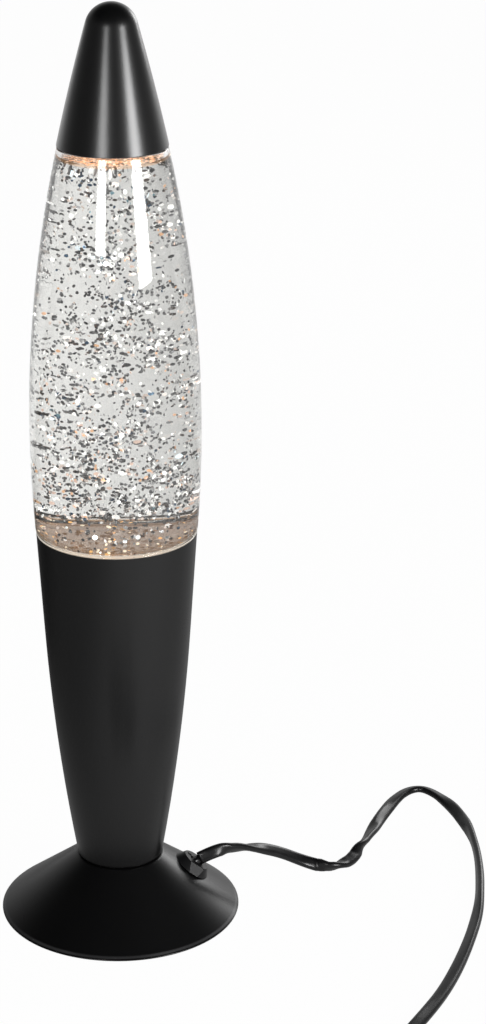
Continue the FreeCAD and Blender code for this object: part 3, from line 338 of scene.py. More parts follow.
def glass_finish():
    """Blown clear glass, its outside barely waved.

    Its thick floor is rough below, and the bulb's warm light is painted into it as a brown tint
    and a faint glow.
    """
    f = Finish("clear_glass", (1.0, 1.0, 1.0), 0.0, IOR=1.48, Transmission_Weight=1.0,
               Emission_Strength=1.0)
    smear = f.noise(22 * MM, 3, 0.5)
    # Painted bulb light: the floor's lowest millimetres take a brown tint and a faint glow that
    # stand in for the bulb's light seen through them.
    painted_floor_glow = 1.0 - f.above(BOTTLE_LOW + 7.4 * MM, BOTTLE_LOW + 8.6 * MM)
    pressed = 1.0 - f.above(BOTTLE_LOW + 5.5 * MM, BOTTLE_LOW + 6.5 * MM)
    f.vary(
        Base_Color=f.mix(painted_floor_glow, (1.0, 1.0, 1.0), (0.4, 0.27, 0.178)),
        Emission_Color=f.mix(painted_floor_glow, (0.0, 0.0, 0.0), (0.05, 0.027, 0.012)),
        Roughness=f.step(smear, 0.62, 0.9) * 0.03 + pressed * 0.3,
        Normal=f.bump(f.noise(26 * MM, 1, 0.4, f.scaled(1, 1, 0.35)), 0.03 * MM, 0.25),
    )


def seat_finish():
    """Clear moulded ring, a little milky where it is thick, with a pale glow painted in for the
    bulb's light from inside.
    """
    # The emission colour is a painted glow that stands in for the bulb's light passing through
    # the ring.
    f = Finish("clear_seat", (0.97, 0.975, 0.97), 0.08, IOR=1.49, Transmission_Weight=1.0,
               Emission_Color=(0.13, 0.118, 0.1, 1.0), Emission_Strength=1.0)
    flow = f.noise(4 * MM, 3, 0.5, f.scaled(1, 1, 3))
    f.vary(Roughness=0.05 + flow * 0.1, Normal=f.bump(flow, 0.02 * MM, 0.4))


def liquid_finish(colours):
    """Clear liquid with a faint tint, uneven where it is stirred; an amber tint and glow along
    its surface are painted warm light.
    """
    f = Finish("clear_liquid", colours.liquid, 0.0, IOR=1.36, Transmission_Weight=1.0,
               Emission_Strength=1.0)
    stir = f.noise(30 * MM, 2, 0.5)
    # Painted light: the amber tint and glow at the top of the liquid stand in for the bulb's warm
    # light.
    painted_surface_light = f.above(LIQUID_HIGH - 1.6 * MM, LIQUID_HIGH - 0.8 * MM)
    clear = f.mix(stir, colours.liquid, tuned(colours.liquid, 1.015))
    f.vary(
        Base_Color=f.mix(painted_surface_light, clear, (0.8, 0.57, 0.4)),
        Emission_Color=f.mix(painted_surface_light, (0.0, 0.0, 0.0), (0.17, 0.095, 0.05)),
    )


def flake_finish():
    """Metal film: each flake has its own shade, some a painted glint that glows, with a slightly
    crumpled face.
    """
    f = Finish("glitter", (0.6, 0.6, 0.6), 0.25, Metallic=0.85, Emission_Strength=1.0)
    crumple = f.noise(0.5 * MM, 2)
    f.vary(
        Base_Color=f.mark("flake_shade"),
        # The glow is a painted glint: white sparkles, and warm ones for the bulb's light.
        Emission_Color=f.mark("flake_glint"),
        Roughness=0.18 + crumple * 0.2,
        Normal=f.bump(crumple, 0.05 * MM, 0.5),
    )


def metal_finish(name, colour, roughness, drawn, stretch=(1, 1, 1), stain=(0.2, 0.17, 0.13)):
    """Plated or bare metal with drawing marks of that size and faint stains."""
    f = Finish(name, colour, roughness, Metallic=1.0)
    lines = f.noise(drawn, 4, 0.6, f.scaled(*stretch))
    stains = f.noise(5 * MM, 5, 0.65)
    rubbed = f.edges(0.25 * MM)
    worn = f.mix(f.step(stains, 0.5, 0.85) * 0.35, colour, stain)
    f.vary(
        Base_Color=f.mix(rubbed * 0.5, worn, tuned(colour, 1.2)),
        Roughness=roughness - 0.06 + lines * 0.12 + stains * 0.06,
        Normal=f.bump(lines, 0.01 * MM, 0.5),
    )


def board_finish():
    """Pressed black fibre board."""
    f = Finish("black_board", (0.02, 0.019, 0.018), 0.8)
    fibre = f.noise(0.5 * MM, 4, 0.7, f.scaled(1, 0.35, 1))
    f.vary(
        Base_Color=f.mix(fibre, (0.013, 0.013, 0.013), (0.035, 0.033, 0.03)),
        Roughness=0.7 + fibre * 0.2,
        Normal=f.bump(fibre, 0.06 * MM, 0.7),
    )


def foam_finish():
    """Closed-cell black foam."""
    f = Finish("soft_foam", (0.02, 0.02, 0.021), 0.85)
    cell = f.cells(0.7 * MM, "DISTANCE_TO_EDGE")
    f.vary(
        Base_Color=f.mix(f.step(cell, 0.0, 0.25), (0.045, 0.045, 0.047), (0.017, 0.017, 0.018)),
        Roughness=0.78 + f.noise(2 * MM, 3) * 0.15,
        Normal=f.bump(f.step(cell, 0.0, 0.3), 0.12 * MM, 0.8),
    )


def ceramic_finish():
    """White thermoset of the lampholder, a little browned by heat towards the bulb."""
    f = Finish("white_thermoset", (0.62, 0.6, 0.55), 0.4)
    mottle = f.noise(1.4 * MM, 4, 0.6)
    heat = f.above(85 * MM, 112 * MM)
    tint = f.mix(heat * 0.5, (0.66, 0.64, 0.59), (0.5, 0.41, 0.29))
    f.vary(
        Base_Color=f.mix(mottle * 0.2, tint, (0.5, 0.48, 0.43)),
        Roughness=0.33 + mottle * 0.14,
        Normal=f.bump(mottle, 0.02 * MM, 0.5),
    )


def insulator_finish():
    """Black glass round the bulb's end contact."""
    f = Finish("black_glass_insulator", (0.01, 0.01, 0.012), 0.12)
    flow = f.noise(2 * MM, 3)
    f.vary(Roughness=0.08 + flow * 0.12, Normal=f.bump(flow, 0.03 * MM, 0.5))


def bulb_finish(colours):
    """Reflector bulb: silvered behind, frosted and lit in front."""
    f = Finish("bulb_glass", (0.8, 0.8, 0.8), 0.15, Metallic=1.0)
    ripple = f.noise(4 * MM, 3)
    f.vary(Roughness=0.1 + ripple * 0.12, Normal=f.bump(ripple, 0.03 * MM, 0.3))
    low, high = (corner.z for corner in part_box("bulb_envelope"))
    front = f.above(low + (high - low) * 0.74, low + (high - low) * 0.8)
    grain = f.noise(0.4 * MM, 3)
    frost = f.add("ShaderNodeBsdfPrincipled", {}, {
        "Base Color": (0.85, 0.8, 0.72, 1), "Roughness": 0.45 + grain * 0.1,
        "Emission Color": (*colours.glow, 1), "Emission Strength": 3.0,
        "Normal": f.bump(grain, 0.02 * MM, 0.5),
    })
    f.lay_over(front, frost)


def wire_finish():
    """Filament and its supports, at a warm glow."""
    f = Finish("lamp_wire", (0.3, 0.28, 0.26), 0.35, Metallic=1.0, Emission_Strength=1.0)
    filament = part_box("bulb_filament")[0].z
    heat = f.above(filament - 2 * MM, filament)
    f.vary(
        Emission_Color=f.mix(heat, (0.0, 0.0, 0.0), (1.0, 0.6, 0.25)),
        Roughness=0.3 + f.noise(0.3 * MM, 2) * 0.2,
    )


def insulation_finish():
    """Blue and brown insulation of the two cores, told apart by the line between them."""
    f = Finish("core_insulation", (0.05, 0.12, 0.4), 0.4)
    lean = math.sin(0.3)
    side = f.step(f.part("X") * lean + f.part("Y"), -0.1 * MM, 0.1 * MM)
    marks = f.noise(1.5 * MM, 3)
    brown = f.mix(marks * 0.4, (0.16, 0.06, 0.025), (0.1, 0.035, 0.015))
    blue = f.mix(marks * 0.4, (0.03, 0.1, 0.42), (0.02, 0.06, 0.25))
    f.vary(Base_Color=f.mix(side, brown, blue), Roughness=0.36 + marks * 0.15)


def make_finishes(colours):
    """Every finish, each named as its slot in the record."""
    paint_finish(colours)
    pvc_finish(colours)
    plastic_finish(colours)
    glass_finish()
    seat_finish()
    liquid_finish(colours)
    flake_finish()
    metal_finish("closure_metal", (0.72, 0.71, 0.69), 0.3, 0.4 * MM, stretch=(1, 1, 0.2))
    foam_finish()
    board_finish()
    metal_finish("zinc_steel", (0.56, 0.57, 0.58), 0.34, 0.5 * MM)
    ceramic_finish()
    metal_finish("brass_parts", (0.72, 0.5, 0.2), 0.3, 0.5 * MM, stain=(0.3, 0.16, 0.06))
    metal_finish("nickel_plate", (0.66, 0.63, 0.58), 0.2, 0.5 * MM, stretch=(1, 1, 4))
    metal_finish("solder", (0.6, 0.6, 0.6), 0.35, 0.8 * MM)
    insulator_finish()
    bulb_finish(colours)
    wire_finish()
    insulation_finish()


def new_piece(name, bm, slot, body, smooth=True, stands_for=()):
    """A finished mesh piece with its slot's material, riding on a body."""
    mesh = bpy.data.meshes.new(name)
    bm.to_mesh(mesh)
    bm.free()
    mesh.materials.append(bpy.data.materials[slot])
    for face in mesh.polygons:
        face.use_smooth = smooth
    piece = bpy.data.objects.new(name, mesh)
    bpy.context.scene.collection.objects.link(piece)
    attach(piece, body)
    if stands_for:
        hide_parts(*stands_for)
    return piece


def spun(bm, profile, steps):
    """Spin a profile of (radius, height) about the lamp's axis. Ends on the axis are closed."""
    places = [bm.verts.new((radius, 0, height)) for radius, height in profile]
    edges = [bm.edges.new(pair) for pair in zip(places, places[1:])]
    bmesh.ops.spin(bm, geom=places + edges, cent=(0, 0, 0), axis=UP, angle=math.tau, steps=steps,
                   use_merge=True, use_duplicate=False)
    bmesh.ops.remove_doubles(bm, verts=bm.verts, dist=1e-7)
    bmesh.ops.recalc_face_normals(bm, faces=bm.faces)


# Route of the flex from the foot to the switch: x, y, height in mm, and how far its flat side is
# turned up in degrees. A height of 0 lies on the table.
FLEX_EXIT = (36.53, 2.88, 20.91)
FLEX_AHEAD = (0.896, 0.071, 0.438)
LAMP_ROUTE = [
    (36.53, 2.88, 20.91, 68), (43.7, 3.44, 24.41, 57), (52.4, 9.0, 23.3, 125),
    (70.6, 22.0, 15.4, 213), (90.0, 30.3, 0, 222), (99.7, 25.0, 0, 305), (108.0, 32.2, 0, 378),
    (111.6, 37.7, 0, 384), (118.6, 53.0, 0, 495), (128.3, 78.7, 0, 571), (139.7, 102.9, 0, 525),
    (150.1, 109.4, 0, 518), (158.4, 101.3, 0, 522), (166.5, 82.2, 0, 564), (171.5, 47.8, 0, 631),
    (168.4, 3.8, 0, 608), (161.5, -32.0, 0, 569), (144.6, -80.8, 0, 542),
    (127.4, -113.4, 0, 520), (113.0, -136.0, 0, 540), (106.0, -152.0, 2.9, 540),
    (92.0, -160.0, 8.0, 540), (84.0, -160.0, 8.0, 540),
]
SWITCH_OUT = (24, -160, 8)

# Coil of the length that is put away, and the way on to the plug, in mm
COIL_MIDDLE_RADIUS = 28.5
COIL_TURNS = 6.5
COIL_PITCH = 5.2
COIL_LAYER_RISE = 6.3
COIL_OUTER_RADIUS = COIL_MIDDLE_RADIUS + COIL_TURNS / 2 * COIL_PITCH / 2
COIL_GAP_TO_SWITCH = 34.0
COIL_POINTS_PER_TURN = 16
COIL_LEAD = 4.2
STRAIGHT_LEAD = 8.0
PLUG_LEAD = 24.0
PLUG_SIDE_STEP = 1.0
PLUG_AXIS = 6.85


def flex_profile(sizes, count=22):
    """Section of the flat twin flex: two cores side by side under one sheath, a faint waist."""
    wide = sizes.flex_width / 2
    thick = sizes.flex_thickness / 2
    squareness = 0.72
    waist_depth = 0.1
    waist_width = 0.25
    outline = []
    for step in range(count):
        turn = math.tau * step / count
        across = math.copysign(abs(math.cos(turn)) ** squareness, math.cos(turn))
        above = math.copysign(abs(math.sin(turn)) ** squareness, math.sin(turn))
        above *= 1 - waist_depth * math.exp(-(across / waist_width) ** 2)
        outline.append((across * wide, above * thick))
    return outline


def resting_height(sizes, turn):
    """Height of the flex's middle above the table when it is turned by that many degrees."""
    angle = math.radians(turn)
    rest_gap = 0.05 * MM
    return rest_gap + max(abs(across * math.sin(angle) + above * math.cos(angle))
                          for across, above in flex_profile(sizes))


def spline_line(name, places, detail):
    """Points along the NURBS spline that has those control points."""
    curve = bpy.data.curves.new(name, "CURVE")
    curve.dimensions = "3D"
    curve.resolution_u = detail
    spline = curve.splines.new("NURBS")
    spline.points.add(len(places) - 1)
    for point, place in zip(spline.points, places):
        point.co = (*place, 1)
    spline.order_u = 3
    spline.use_endpoint_u = True
    holder = bpy.data.objects.new(name, curve)
    bpy.context.scene.collection.objects.link(holder)
    mesh = bpy.data.meshes.new_from_object(holder)
    line = [vertex.co.copy() for vertex in mesh.vertices]
    bpy.data.meshes.remove(mesh)
    bpy.data.objects.remove(holder)
    bpy.data.curves.remove(curve)
    return line


def turns_along(places, turns, line):
    """The turn at each point of the line, eased between the control points it passes nearest."""
    nearest = []
    start = 0
    for place in places:
        start = min(range(start, len(line)), key=lambda i: (line[i] - place).length)
        nearest.append(start)
    nearest[-1] = len(line) - 1
    eased = []
    span = 0
    for i in range(len(line)):
        while span < len(places) - 2 and i > nearest[span + 1]:
            span += 1
        reach = max(1, nearest[span + 1] - nearest[span])
        share = min(1.0, max(0.0, (i - nearest[span]) / reach))
        share = share * share * (3 - 2 * share)
        eased.append(turns[span] + (turns[span + 1] - turns[span]) * share)
    return eased


def ahead_at(line, i):
    """Direction of the line at its point i."""
    return (line[min(i + 1, len(line) - 1)] - line[max(i - 1, 0)]).normalized()


def frame_at(place, wide, ahead):
    """Frame of a section: its width, its thickness and the way ahead, at a place."""
    turned = Matrix((wide, ahead.cross(wide), ahead)).transposed().to_4x4()
    return Matrix.Translation(place) @ turned


def swept(outline, frames):
    """A closed tube, its outline extruded from each frame to the next."""
    bm = bmesh.new()
    ring = [bm.verts.new(frames[0] @ Vector((across, above, 0))) for across, above in outline]
    edges = [bm.edges.new(pair) for pair in zip(ring, ring[1:] + ring[:1])]
    bmesh.ops.contextual_create(bm, geom=edges)
    for before, after in zip(frames, frames[1:]):
        made = bmesh.ops.extrude_edge_only(bm, edges=edges)["geom"]
        ring = [item for item in made if isinstance(item, bmesh.types.BMVert)]
        edges = [item for item in made if isinstance(item, bmesh.types.BMEdge)
                 and all(vertex in ring for vertex in item.verts)]
        bmesh.ops.transform(bm, matrix=after @ before.inverted(), verts=ring)
    bmesh.ops.contextual_create(bm, geom=edges)
    bmesh.ops.recalc_face_normals(bm, faces=bm.faces)
    return bm


def flat_flex(name, sizes, line, turns, stands_for):
    """The flat flex drawn along a line, turned about it by the given angles."""
    frames = []
    for i, place in enumerate(line):
        ahead = ahead_at(line, i)
        across = UP.cross(ahead).normalized()
        above = ahead.cross(across)
        angle = math.radians(turns[i])
        frames.append(frame_at(place, across * math.cos(angle) + above * math.sin(angle), ahead))
    bm = swept(flex_profile(sizes), frames)
    return new_piece(name, bm, "flex_pvc", "base", stands_for=stands_for)


def coil_place(step, centre, low):
    """A control point of the coil, counted from the outside of its lower layer.

    The spline runs inside its control points, so they stand out by the share that it cuts off.
    """
    middle = COIL_TURNS * COIL_POINTS_PER_TURN / 2
    half_turn = COIL_POINTS_PER_TURN / 2
    grow = COIL_PITCH / COIL_POINTS_PER_TURN
    inner = COIL_OUTER_RADIUS - (middle - half_turn / 2) * grow
    away = abs(step - middle)
    if away < half_turn / 2:
        radius = inner - grow * half_turn / 4 + grow * away ** 2 / half_turn
        share = (step - middle) / half_turn + 0.5
        height = low + COIL_LAYER_RISE * share * share * (3 - 2 * share)
    else:
        radius = inner + grow * (away - half_turn / 2)
        height = low + (COIL_LAYER_RISE if step > middle else 0)
    turn = math.pi / 2 + math.tau * step / COIL_POINTS_PER_TURN
    radius /= math.cos(math.pi / COIL_POINTS_PER_TURN)
    return centre + Vector((math.cos(turn) * radius, math.sin(turn) * radius, height))


def lay_lamp_flex(sizes):
    """The flex from the foot to the switch, resting on the table as soon as it reaches it."""
    places = []
    for x, y, z, turn in LAMP_ROUTE:
        height = z * MM if z else resting_height(sizes, turn)
        places.append(Vector((x * MM, y * MM, height)))
    line = spline_line("lamp_route", places, 12)
    turns = turns_along(places, [row[3] for row in LAMP_ROUTE], line)
    for place, turn in zip(line, turns):
        place.z = max(place.z, resting_height(sizes, turn))
    lamp_flex = flat_flex("lamp_flex", sizes, line, turns, ["flex_lamp_to_switch"])


def put_flex_away(sizes):
    """The flex from the switch through its coil to the plug.

    It lies flat at both ends and stands on its edge in the coil.
    """
    switch_out = Vector(SWITCH_OUT)
    straight = Vector((STRAIGHT_LEAD, 0, 0))
    lead = Vector((COIL_LEAD, 0, 0))
    centre = Vector((switch_out.x - COIL_GAP_TO_SWITCH, switch_out.y - COIL_OUTER_RADIUS, 0))
    low = resting_height(sizes, 90) / MM
    steps = int(COIL_TURNS * COIL_POINTS_PER_TURN)
    coil = [coil_place(step, centre, low) for step in range(steps + 1)]
    coil_in = coil[0] + lead
    coil_out = coil[-1] + lead
    boot = Vector((coil_out.x + PLUG_LEAD, coil_out.y - PLUG_SIDE_STEP, PLUG_AXIS))
    route = [switch_out, switch_out - straight, coil_in + straight, coil_in] + coil
    route += [coil_out, coil_out + straight, boot - straight, boot]
    route_turns = [0, 0, 90, 90] + [90] * len(coil) + [90, 90, 0, 0]
    places = [place * MM for place in route]
    line = spline_line("put_away_route", places, 5)
    turns = turns_along(places, route_turns, line)
    put_away = flat_flex("put_away_flex", sizes, line, turns,
                         ["flex_switch_to_coil", "flex_coil", "flex_coil_to_plug"])


def lay_inner_flex(sizes):
    """The stretch of flex inside the foot, from the bushing up into the threaded tube."""
    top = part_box("inner_flex")[1].z / MM
    inner_reach = 26.4
    squeezed = 0.81
    bushing = Vector(FLEX_EXIT)
    places = [bushing, bushing - Vector(FLEX_AHEAD).normalized() * inner_reach,
              Vector((0, 0, 18)), Vector((0.6, 0.3, 42)), Vector((0.2, 0, top - 5)),
              Vector((0, 0, top))]
    line = spline_line("inner_route", [place * MM for place in places], 10)
    frames = []
    wide = UP.cross(ahead_at(line, 0)).normalized()
    for i, place in enumerate(line):
        ahead = ahead_at(line, i)
        wide = (wide - ahead * wide.dot(ahead)).normalized()
        frames.append(frame_at(place, wide, ahead))
    bm = swept([(across * squeezed, above) for across, above in flex_profile(sizes)], frames)
    new_piece("inner_lead", bm, "flex_pvc", "base", stands_for=["inner_flex"])


def side_of(node, height, inner):
    """Radius of a turned node at a height, on its outer or inner face, read from its mesh."""
    band = 1.2 * MM
    while True:
        near = [v.co for v in NODES[node].data.vertices if abs(v.co.z - height) < band]
        if near:
            return (min if inner else max)(math.hypot(p.x, p.y) for p in near)
        band *= 2


def fill_bottle():
    """The liquid, a hair into the glass so that no air shows between them."""
    into_glass = 0.12 * MM
    bottom = LIQUID_LOW + 0.2 * MM
    on_axis = 0.01 * MM
    bm = bmesh.new()
    bm.from_mesh(NODES["bottle_liquid"].data)
    bmesh.ops.remove_doubles(bm, verts=bm.verts, dist=2e-6)
    bmesh.ops.recalc_face_normals(bm, faces=bm.faces)
    for vertex in bm.verts:
        away = Vector((vertex.co.x, vertex.co.y, 0))
        if away.length > on_axis and vertex.co.z > bottom:
            vertex.co += away.normalized() * into_glass
        if vertex.co.z < bottom:
            vertex.co.z -= into_glass
    new_piece("clear_liquid", bm, "clear_liquid", "bottle", stands_for=["bottle_liquid"])


# Flakes by kind: face colour, glow, and share. The glow is a painted glint; the warm ones stand
# in for the bulb's light.
DRIFTING = (
    ((0.105, 0.107, 0.111), (0, 0, 0), 0.16), ((0.16, 0.163, 0.167), (0, 0, 0), 0.23),
    ((0.26, 0.263, 0.267), (0, 0, 0), 0.23), ((0.4, 0.4, 0.4), (0.14, 0.14, 0.14), 0.17),
    ((0.9, 0.9, 0.9), (0.9, 0.9, 0.88), 0.125), ((0.5, 0.42, 0.38), (0.5, 0.43, 0.39), 0.05),
    ((0.05, 0.09, 0.13), (0, 0.01, 0.03), 0.03), ((0.5, 0.28, 0.16), (0.55, 0.33, 0.2), 0.005),
)
WARM_DRIFT = (
    ((0.5, 0.28, 0.16), (0.72, 0.45, 0.27), 0.16), ((0.45, 0.32, 0.26), (0.62, 0.47, 0.4), 0.3),
    ((0.9, 0.87, 0.83), (0.9, 0.86, 0.82), 0.2), ((0.12, 0.1, 0.09), (0, 0, 0), 0.34),
)
COOL_DRIFT = (
    ((0.06, 0.1, 0.15), (0.01, 0.03, 0.06), 0.35), ((0.16, 0.24, 0.27), (0.08, 0.16, 0.19), 0.15),
    ((0.8, 0.9, 0.95), (0.78, 0.9, 0.97), 0.15), ((0.1, 0.103, 0.107), (0, 0, 0), 0.35),
)
# Settled on the floor: their gold colour and glow are a painted reflection of the bulb below.
SETTLED = (
    ((0.6, 0.35, 0.15), (0.95, 0.55, 0.2), 0.35), ((0.9, 0.8, 0.6), (1.0, 0.88, 0.68), 0.3),
    ((0.3, 0.18, 0.1), (0.12, 0.06, 0.03), 0.2), ((0.05, 0.04, 0.035), (0, 0, 0), 0.15),
)
# Afloat under the cap: their copper and pink colour and glow stand in for warm light, painted in.
AFLOAT = (
    ((0.7, 0.4, 0.22), (0.74, 0.42, 0.22), 0.38), ((0.8, 0.55, 0.45), (0.8, 0.56, 0.45), 0.3),
    ((0.9, 0.85, 0.8), (0.95, 0.87, 0.78), 0.12), ((0.3, 0.22, 0.16), (0.16, 0.11, 0.07), 0.2),
)


def cut_flakes(bm, rng, spots, across, kinds, facing_up):
    """Six-sided flakes at the given spots, each coloured as one of the kinds, with its painted
    glint.

    facing_up is the range of the upward share of their normals. They are cut in small batches,
    because one long mesh slows the operator that makes them.
    """
    batch_size = 200
    cuts = (0.55, 0.65, 0.75, 0.85, 0.95, 1.0)
    bright, flare_share, flare_cut = 0.7, 0.15, 1.4
    shares = [share for colour, glow, share in kinds]
    for start in range(0, len(spots), batch_size):
        batch = bmesh.new()
        shade = batch.verts.layers.float_color.new("flake_shade")
        painted_glint = batch.verts.layers.float_color.new("flake_glint")
        for spot in spots[start:start + batch_size]:
            colour, glow = rng.choices(kinds, shares)[0][:2]
            size = across * rng.choice(cuts)
            # Flakes with a bright painted glint are sometimes cut larger, as flares.
            if min(glow) > bright and rng.random() < flare_share:
                size = across * flare_cut
            heading = Matrix.Rotation(math.tau * rng.random(), 4, "Z")
            tip = Matrix.Rotation(math.acos(rng.uniform(*facing_up)), 4, "X")
            made = bmesh.ops.create_circle(
                batch, cap_ends=True, segments=6, radius=size / 2,
                matrix=Matrix.Translation(spot) @ (heading @ tip))
            for vertex in made["verts"]:
                vertex[shade] = (*colour, 1)
                vertex[painted_glint] = (*glow, 1)
        mesh = bpy.data.meshes.new("flake_batch")
        batch.to_mesh(mesh)
        batch.free()
        bm.from_mesh(mesh)
        bpy.data.meshes.remove(mesh)


def drift_flakes(sizes):
    """Flakes of metal film: in drifts through the liquid, settled on the floor, and afloat."""
    rng = random.Random(41)
    bm = bmesh.new()
    bm.verts.layers.float_color.new("flake_shade")
    bm.verts.layers.float_color.new("flake_glint")
    across = sizes.flake_across
    wall_gap = 0.7 * across
    low = LIQUID_LOW + 1.0 * MM
    high = LIQUID_HIGH - 0.4 * MM
    span = high - low
    slices = 60
    reaches = [side_of("bottle_liquid", low + span * k / slices, False) - wall_gap
               for k in range(slices + 1)]

    def spot_at(height, turn, spread):
        """A place in the liquid. spread is its share of the way from the axis to the glass."""
        height = min(high, max(low, height))
        reach = reaches[int((height - low) / span * slices)] * min(1.0, abs(spread))
        return Vector((math.cos(turn) * reach, math.sin(turn) * reach, height))

    def anywhere():
        """A turn and a spread that fill a round slice evenly."""
        return math.tau * rng.random(), math.sqrt(rng.random())

    def stray():
        """A height that gets rarer towards the top, and any place round the axis."""
        return low + (span - across) * rng.random() ** 1.45, *anywhere()

    def over_clear_floor(place):
        """Whether a place is in the wedge over the floor's front that a swirl keeps clear."""
        return place.z - low < (30 * MM - place.y) * 0.27

    tones = rng.choices((DRIFTING, WARM_DRIFT, COOL_DRIFT), (0.88, 0.08, 0.04), k=520)
    drifts = [(*stray(), tone) for tone in tones]
    in_drifts, left_over_floor = 0.72, 0.2
    spots = {DRIFTING: [], WARM_DRIFT: [], COOL_DRIFT: []}
    for k in range(sizes.flake_count):
        tone = DRIFTING
        if rng.random() < in_drifts:
            height, turn, spread, tone = rng.choice(drifts)
            place = spot_at(height + rng.gauss(0, 2.3 * MM), turn + rng.gauss(0, 0.09),
                            spread + rng.gauss(0, 0.06))
        else:
            place = spot_at(*stray())
        if not over_clear_floor(place) or rng.random() < left_over_floor:
            spots[tone].append(place)
    for tone, places in spots.items():
        cut_flakes(bm, rng, places, across, tone, (-0.6, 0.6))
    settled = [spot_at(low + 2.0 * MM * rng.random() ** 2, *anywhere())
               for k in range(sizes.flake_count // 75)]
    cut_flakes(bm, rng, settled, across, SETTLED, (0.5, 1.0))
    afloat = [spot_at(high, *anywhere()) for k in range(sizes.flake_count // 10)]
    cut_flakes(bm, rng, afloat, across, AFLOAT, (0.97, 1.0))
    piece = new_piece("drifting_flakes", bm, "glitter", "bottle", smooth=False,
                      stands_for=["glitter_flakes"])
    film = piece.modifiers.new("film", "SOLIDIFY")
    film.thickness = sizes.flake_thickness
    film.offset = 0


def quarter_round(radius, height, corner, start):
    """Profile points of a quarter circle about a place, from a start angle on."""
    steps = 6
    turns = [start + math.pi / 2 * k / steps for k in range(steps + 1)]
    return [(radius + math.cos(turn) * corner, height + math.sin(turn) * corner)
            for turn in turns]


def foam_piece(name, node, bulge, body, disc=False):
    """A foam ring or disc in the space of its CAD node, its sides soft and slightly swollen."""
    low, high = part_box(node)
    middle = (low.z + high.z) / 2
    corner = min(0.35 * (high.z - low.z), 0.6 * MM)
    bottom, top = low.z + corner, high.z - corner
    outer = [side_of(node, height, False) for height in (low.z, high.z)]
    profile = quarter_round(outer[0] - corner, bottom, corner, -math.pi / 2)
    profile.append(((outer[0] + outer[1]) / 2 - bulge, middle))
    profile += quarter_round(outer[1] - corner, top, corner, 0.0)
    if disc:
        profile = [(0.0, low.z), *profile, (0.0, high.z)]
    else:
        inner = [side_of(node, height, True) for height in (low.z, high.z)]
        profile.insert(0, (inner[0] + corner, low.z))
        profile += quarter_round(inner[1] + corner, top, corner, math.pi / 2)
        profile.append(((inner[0] + inner[1]) / 2 + bulge, middle))
        profile += quarter_round(inner[0] + corner, bottom, corner, math.pi)
    bm = bmesh.new()
    spun(bm, profile, 128)
    piece = new_piece(name, bm, "soft_foam", body, stands_for=[node])


# Camera of the photograph: focal length in pixels, place, and yaw, pitch and roll in degrees
PHOTO_LONG_SIDE = 1024
FOCAL_PIXELS = 2874.7
CAMERA_PLACE = (0, -1.180, 0.6515)
CAMERA_TURNS = (2.70, 21.18, 0.35)

# Softboxes in front: azimuth in degrees, width, lowest and highest point, and radiance
SOFTBOXES = {
    "softbox_left": (-21, 0.3, 0.335, 0.755, 11.5),
    "softbox_right": (47.5, 0.4, 0.245, 0.73, 17.5),
}
SOFTBOX_DISTANCE = 1.12
LAMP_MIDDLE = Vector((0, 0, 0.36))
FLOOR_HALF_SIDE = 6.0


def build_floor():
    """Pale floor that takes the lamp's shadow.

    It is white where it is seen, darker in front in mirrored rays, so that the paint stays
    black, and a little grey on the left through the glass.
    """
    f = Finish("stage_floor", (0.86, 0.86, 0.86), 0.9, Specular_IOR_Level=0.0)
    seen_through = f.ray("Transmission")
    mirrored = f.ray("Glossy") * (1.0 - seen_through)
    seen = (f.ray("Camera") + seen_through + mirrored).held() * 0.98
    to_right = f.step(f.part("X"), -0.25, 0.1)
    beside = f.step(f.part("Y"), -0.25, 0.1)
    behind = f.step(f.part("Y"), 0.0, 0.25)
    far_behind = f.step(f.part("Y"), 0.42, 0.55)
    near = (0.26 + to_right * 0.46) * (1.0 - beside * 0.45)
    near = near * (1.0 - behind * (0.8 - to_right * 0.6))
    in_mirror = near * (1.0 - far_behind) + far_behind * 0.95
    in_glass = 0.72 + f.step(f.part("X"), -0.35, 0.25) * 0.28
    level = 1.0 - seen_through * (1.0 - in_glass) - mirrored * (1.0 - in_mirror)
    glow = f.add("ShaderNodeEmission", {}, {"Color": (1, 1, 1, 1), "Strength": level})
    f.lay_over(seen, glow)
    bm = bmesh.new()
    bmesh.ops.create_grid(bm, x_segments=1, y_segments=1, size=FLOOR_HALF_SIDE)
    mesh = bpy.data.meshes.new("stage_floor")
    bm.to_mesh(mesh)
    bm.free()
    mesh.materials.append(f.material)
    floor = bpy.data.objects.new("stage_floor", mesh)
    bpy.context.scene.collection.objects.link(floor)


def build_walls():
    """White surroundings, dim in mirrored rays but for their right and back, and a faint fill."""
    world = bpy.data.worlds.new("studio")
    bpy.context.scene.world = world
    world.use_nodes = True
    sky = Shading(world.node_tree)
    x, y, z = (sky.along("Generated", axis) for axis in "XYZ")
    side = sky.step(x, -0.7, 0.6)
    back = sky.step(y, 0.3, 0.9) * (0.2 + side * 0.5)
    walls = (0.13 + side * 0.07 + back) * (1.0 - sky.step(z, 0.25, 0.7) * 0.9)
    seen_through = sky.ray("Transmission") * (0.72 + sky.step(x, -0.4, 0.3) * 0.28)
    clear = (sky.ray("Camera") + seen_through).held()
    mirrored = sky.ray("Glossy")
    ambient = 0.15
    strength = clear + (1.0 - clear) * (mirrored * walls + (1.0 - mirrored) * ambient)
    sky.fill(sky.own("BACKGROUND"), {"Color": (1, 1, 1, 1), "Strength": strength})


def area_light(name, place, aim, wide, high, energy):
    """A rectangular light, turned to what it is aimed at."""
    light = bpy.data.lights.new(name, "AREA")
    light.shape = "RECTANGLE"
    light.size = wide
    light.size_y = high
    light.energy = energy
    holder = bpy.data.objects.new(name, light)
    holder.location = place
    holder.rotation_euler = (aim - place).to_track_quat("-Z", "Y").to_euler()
    bpy.context.scene.collection.objects.link(holder)
    return holder


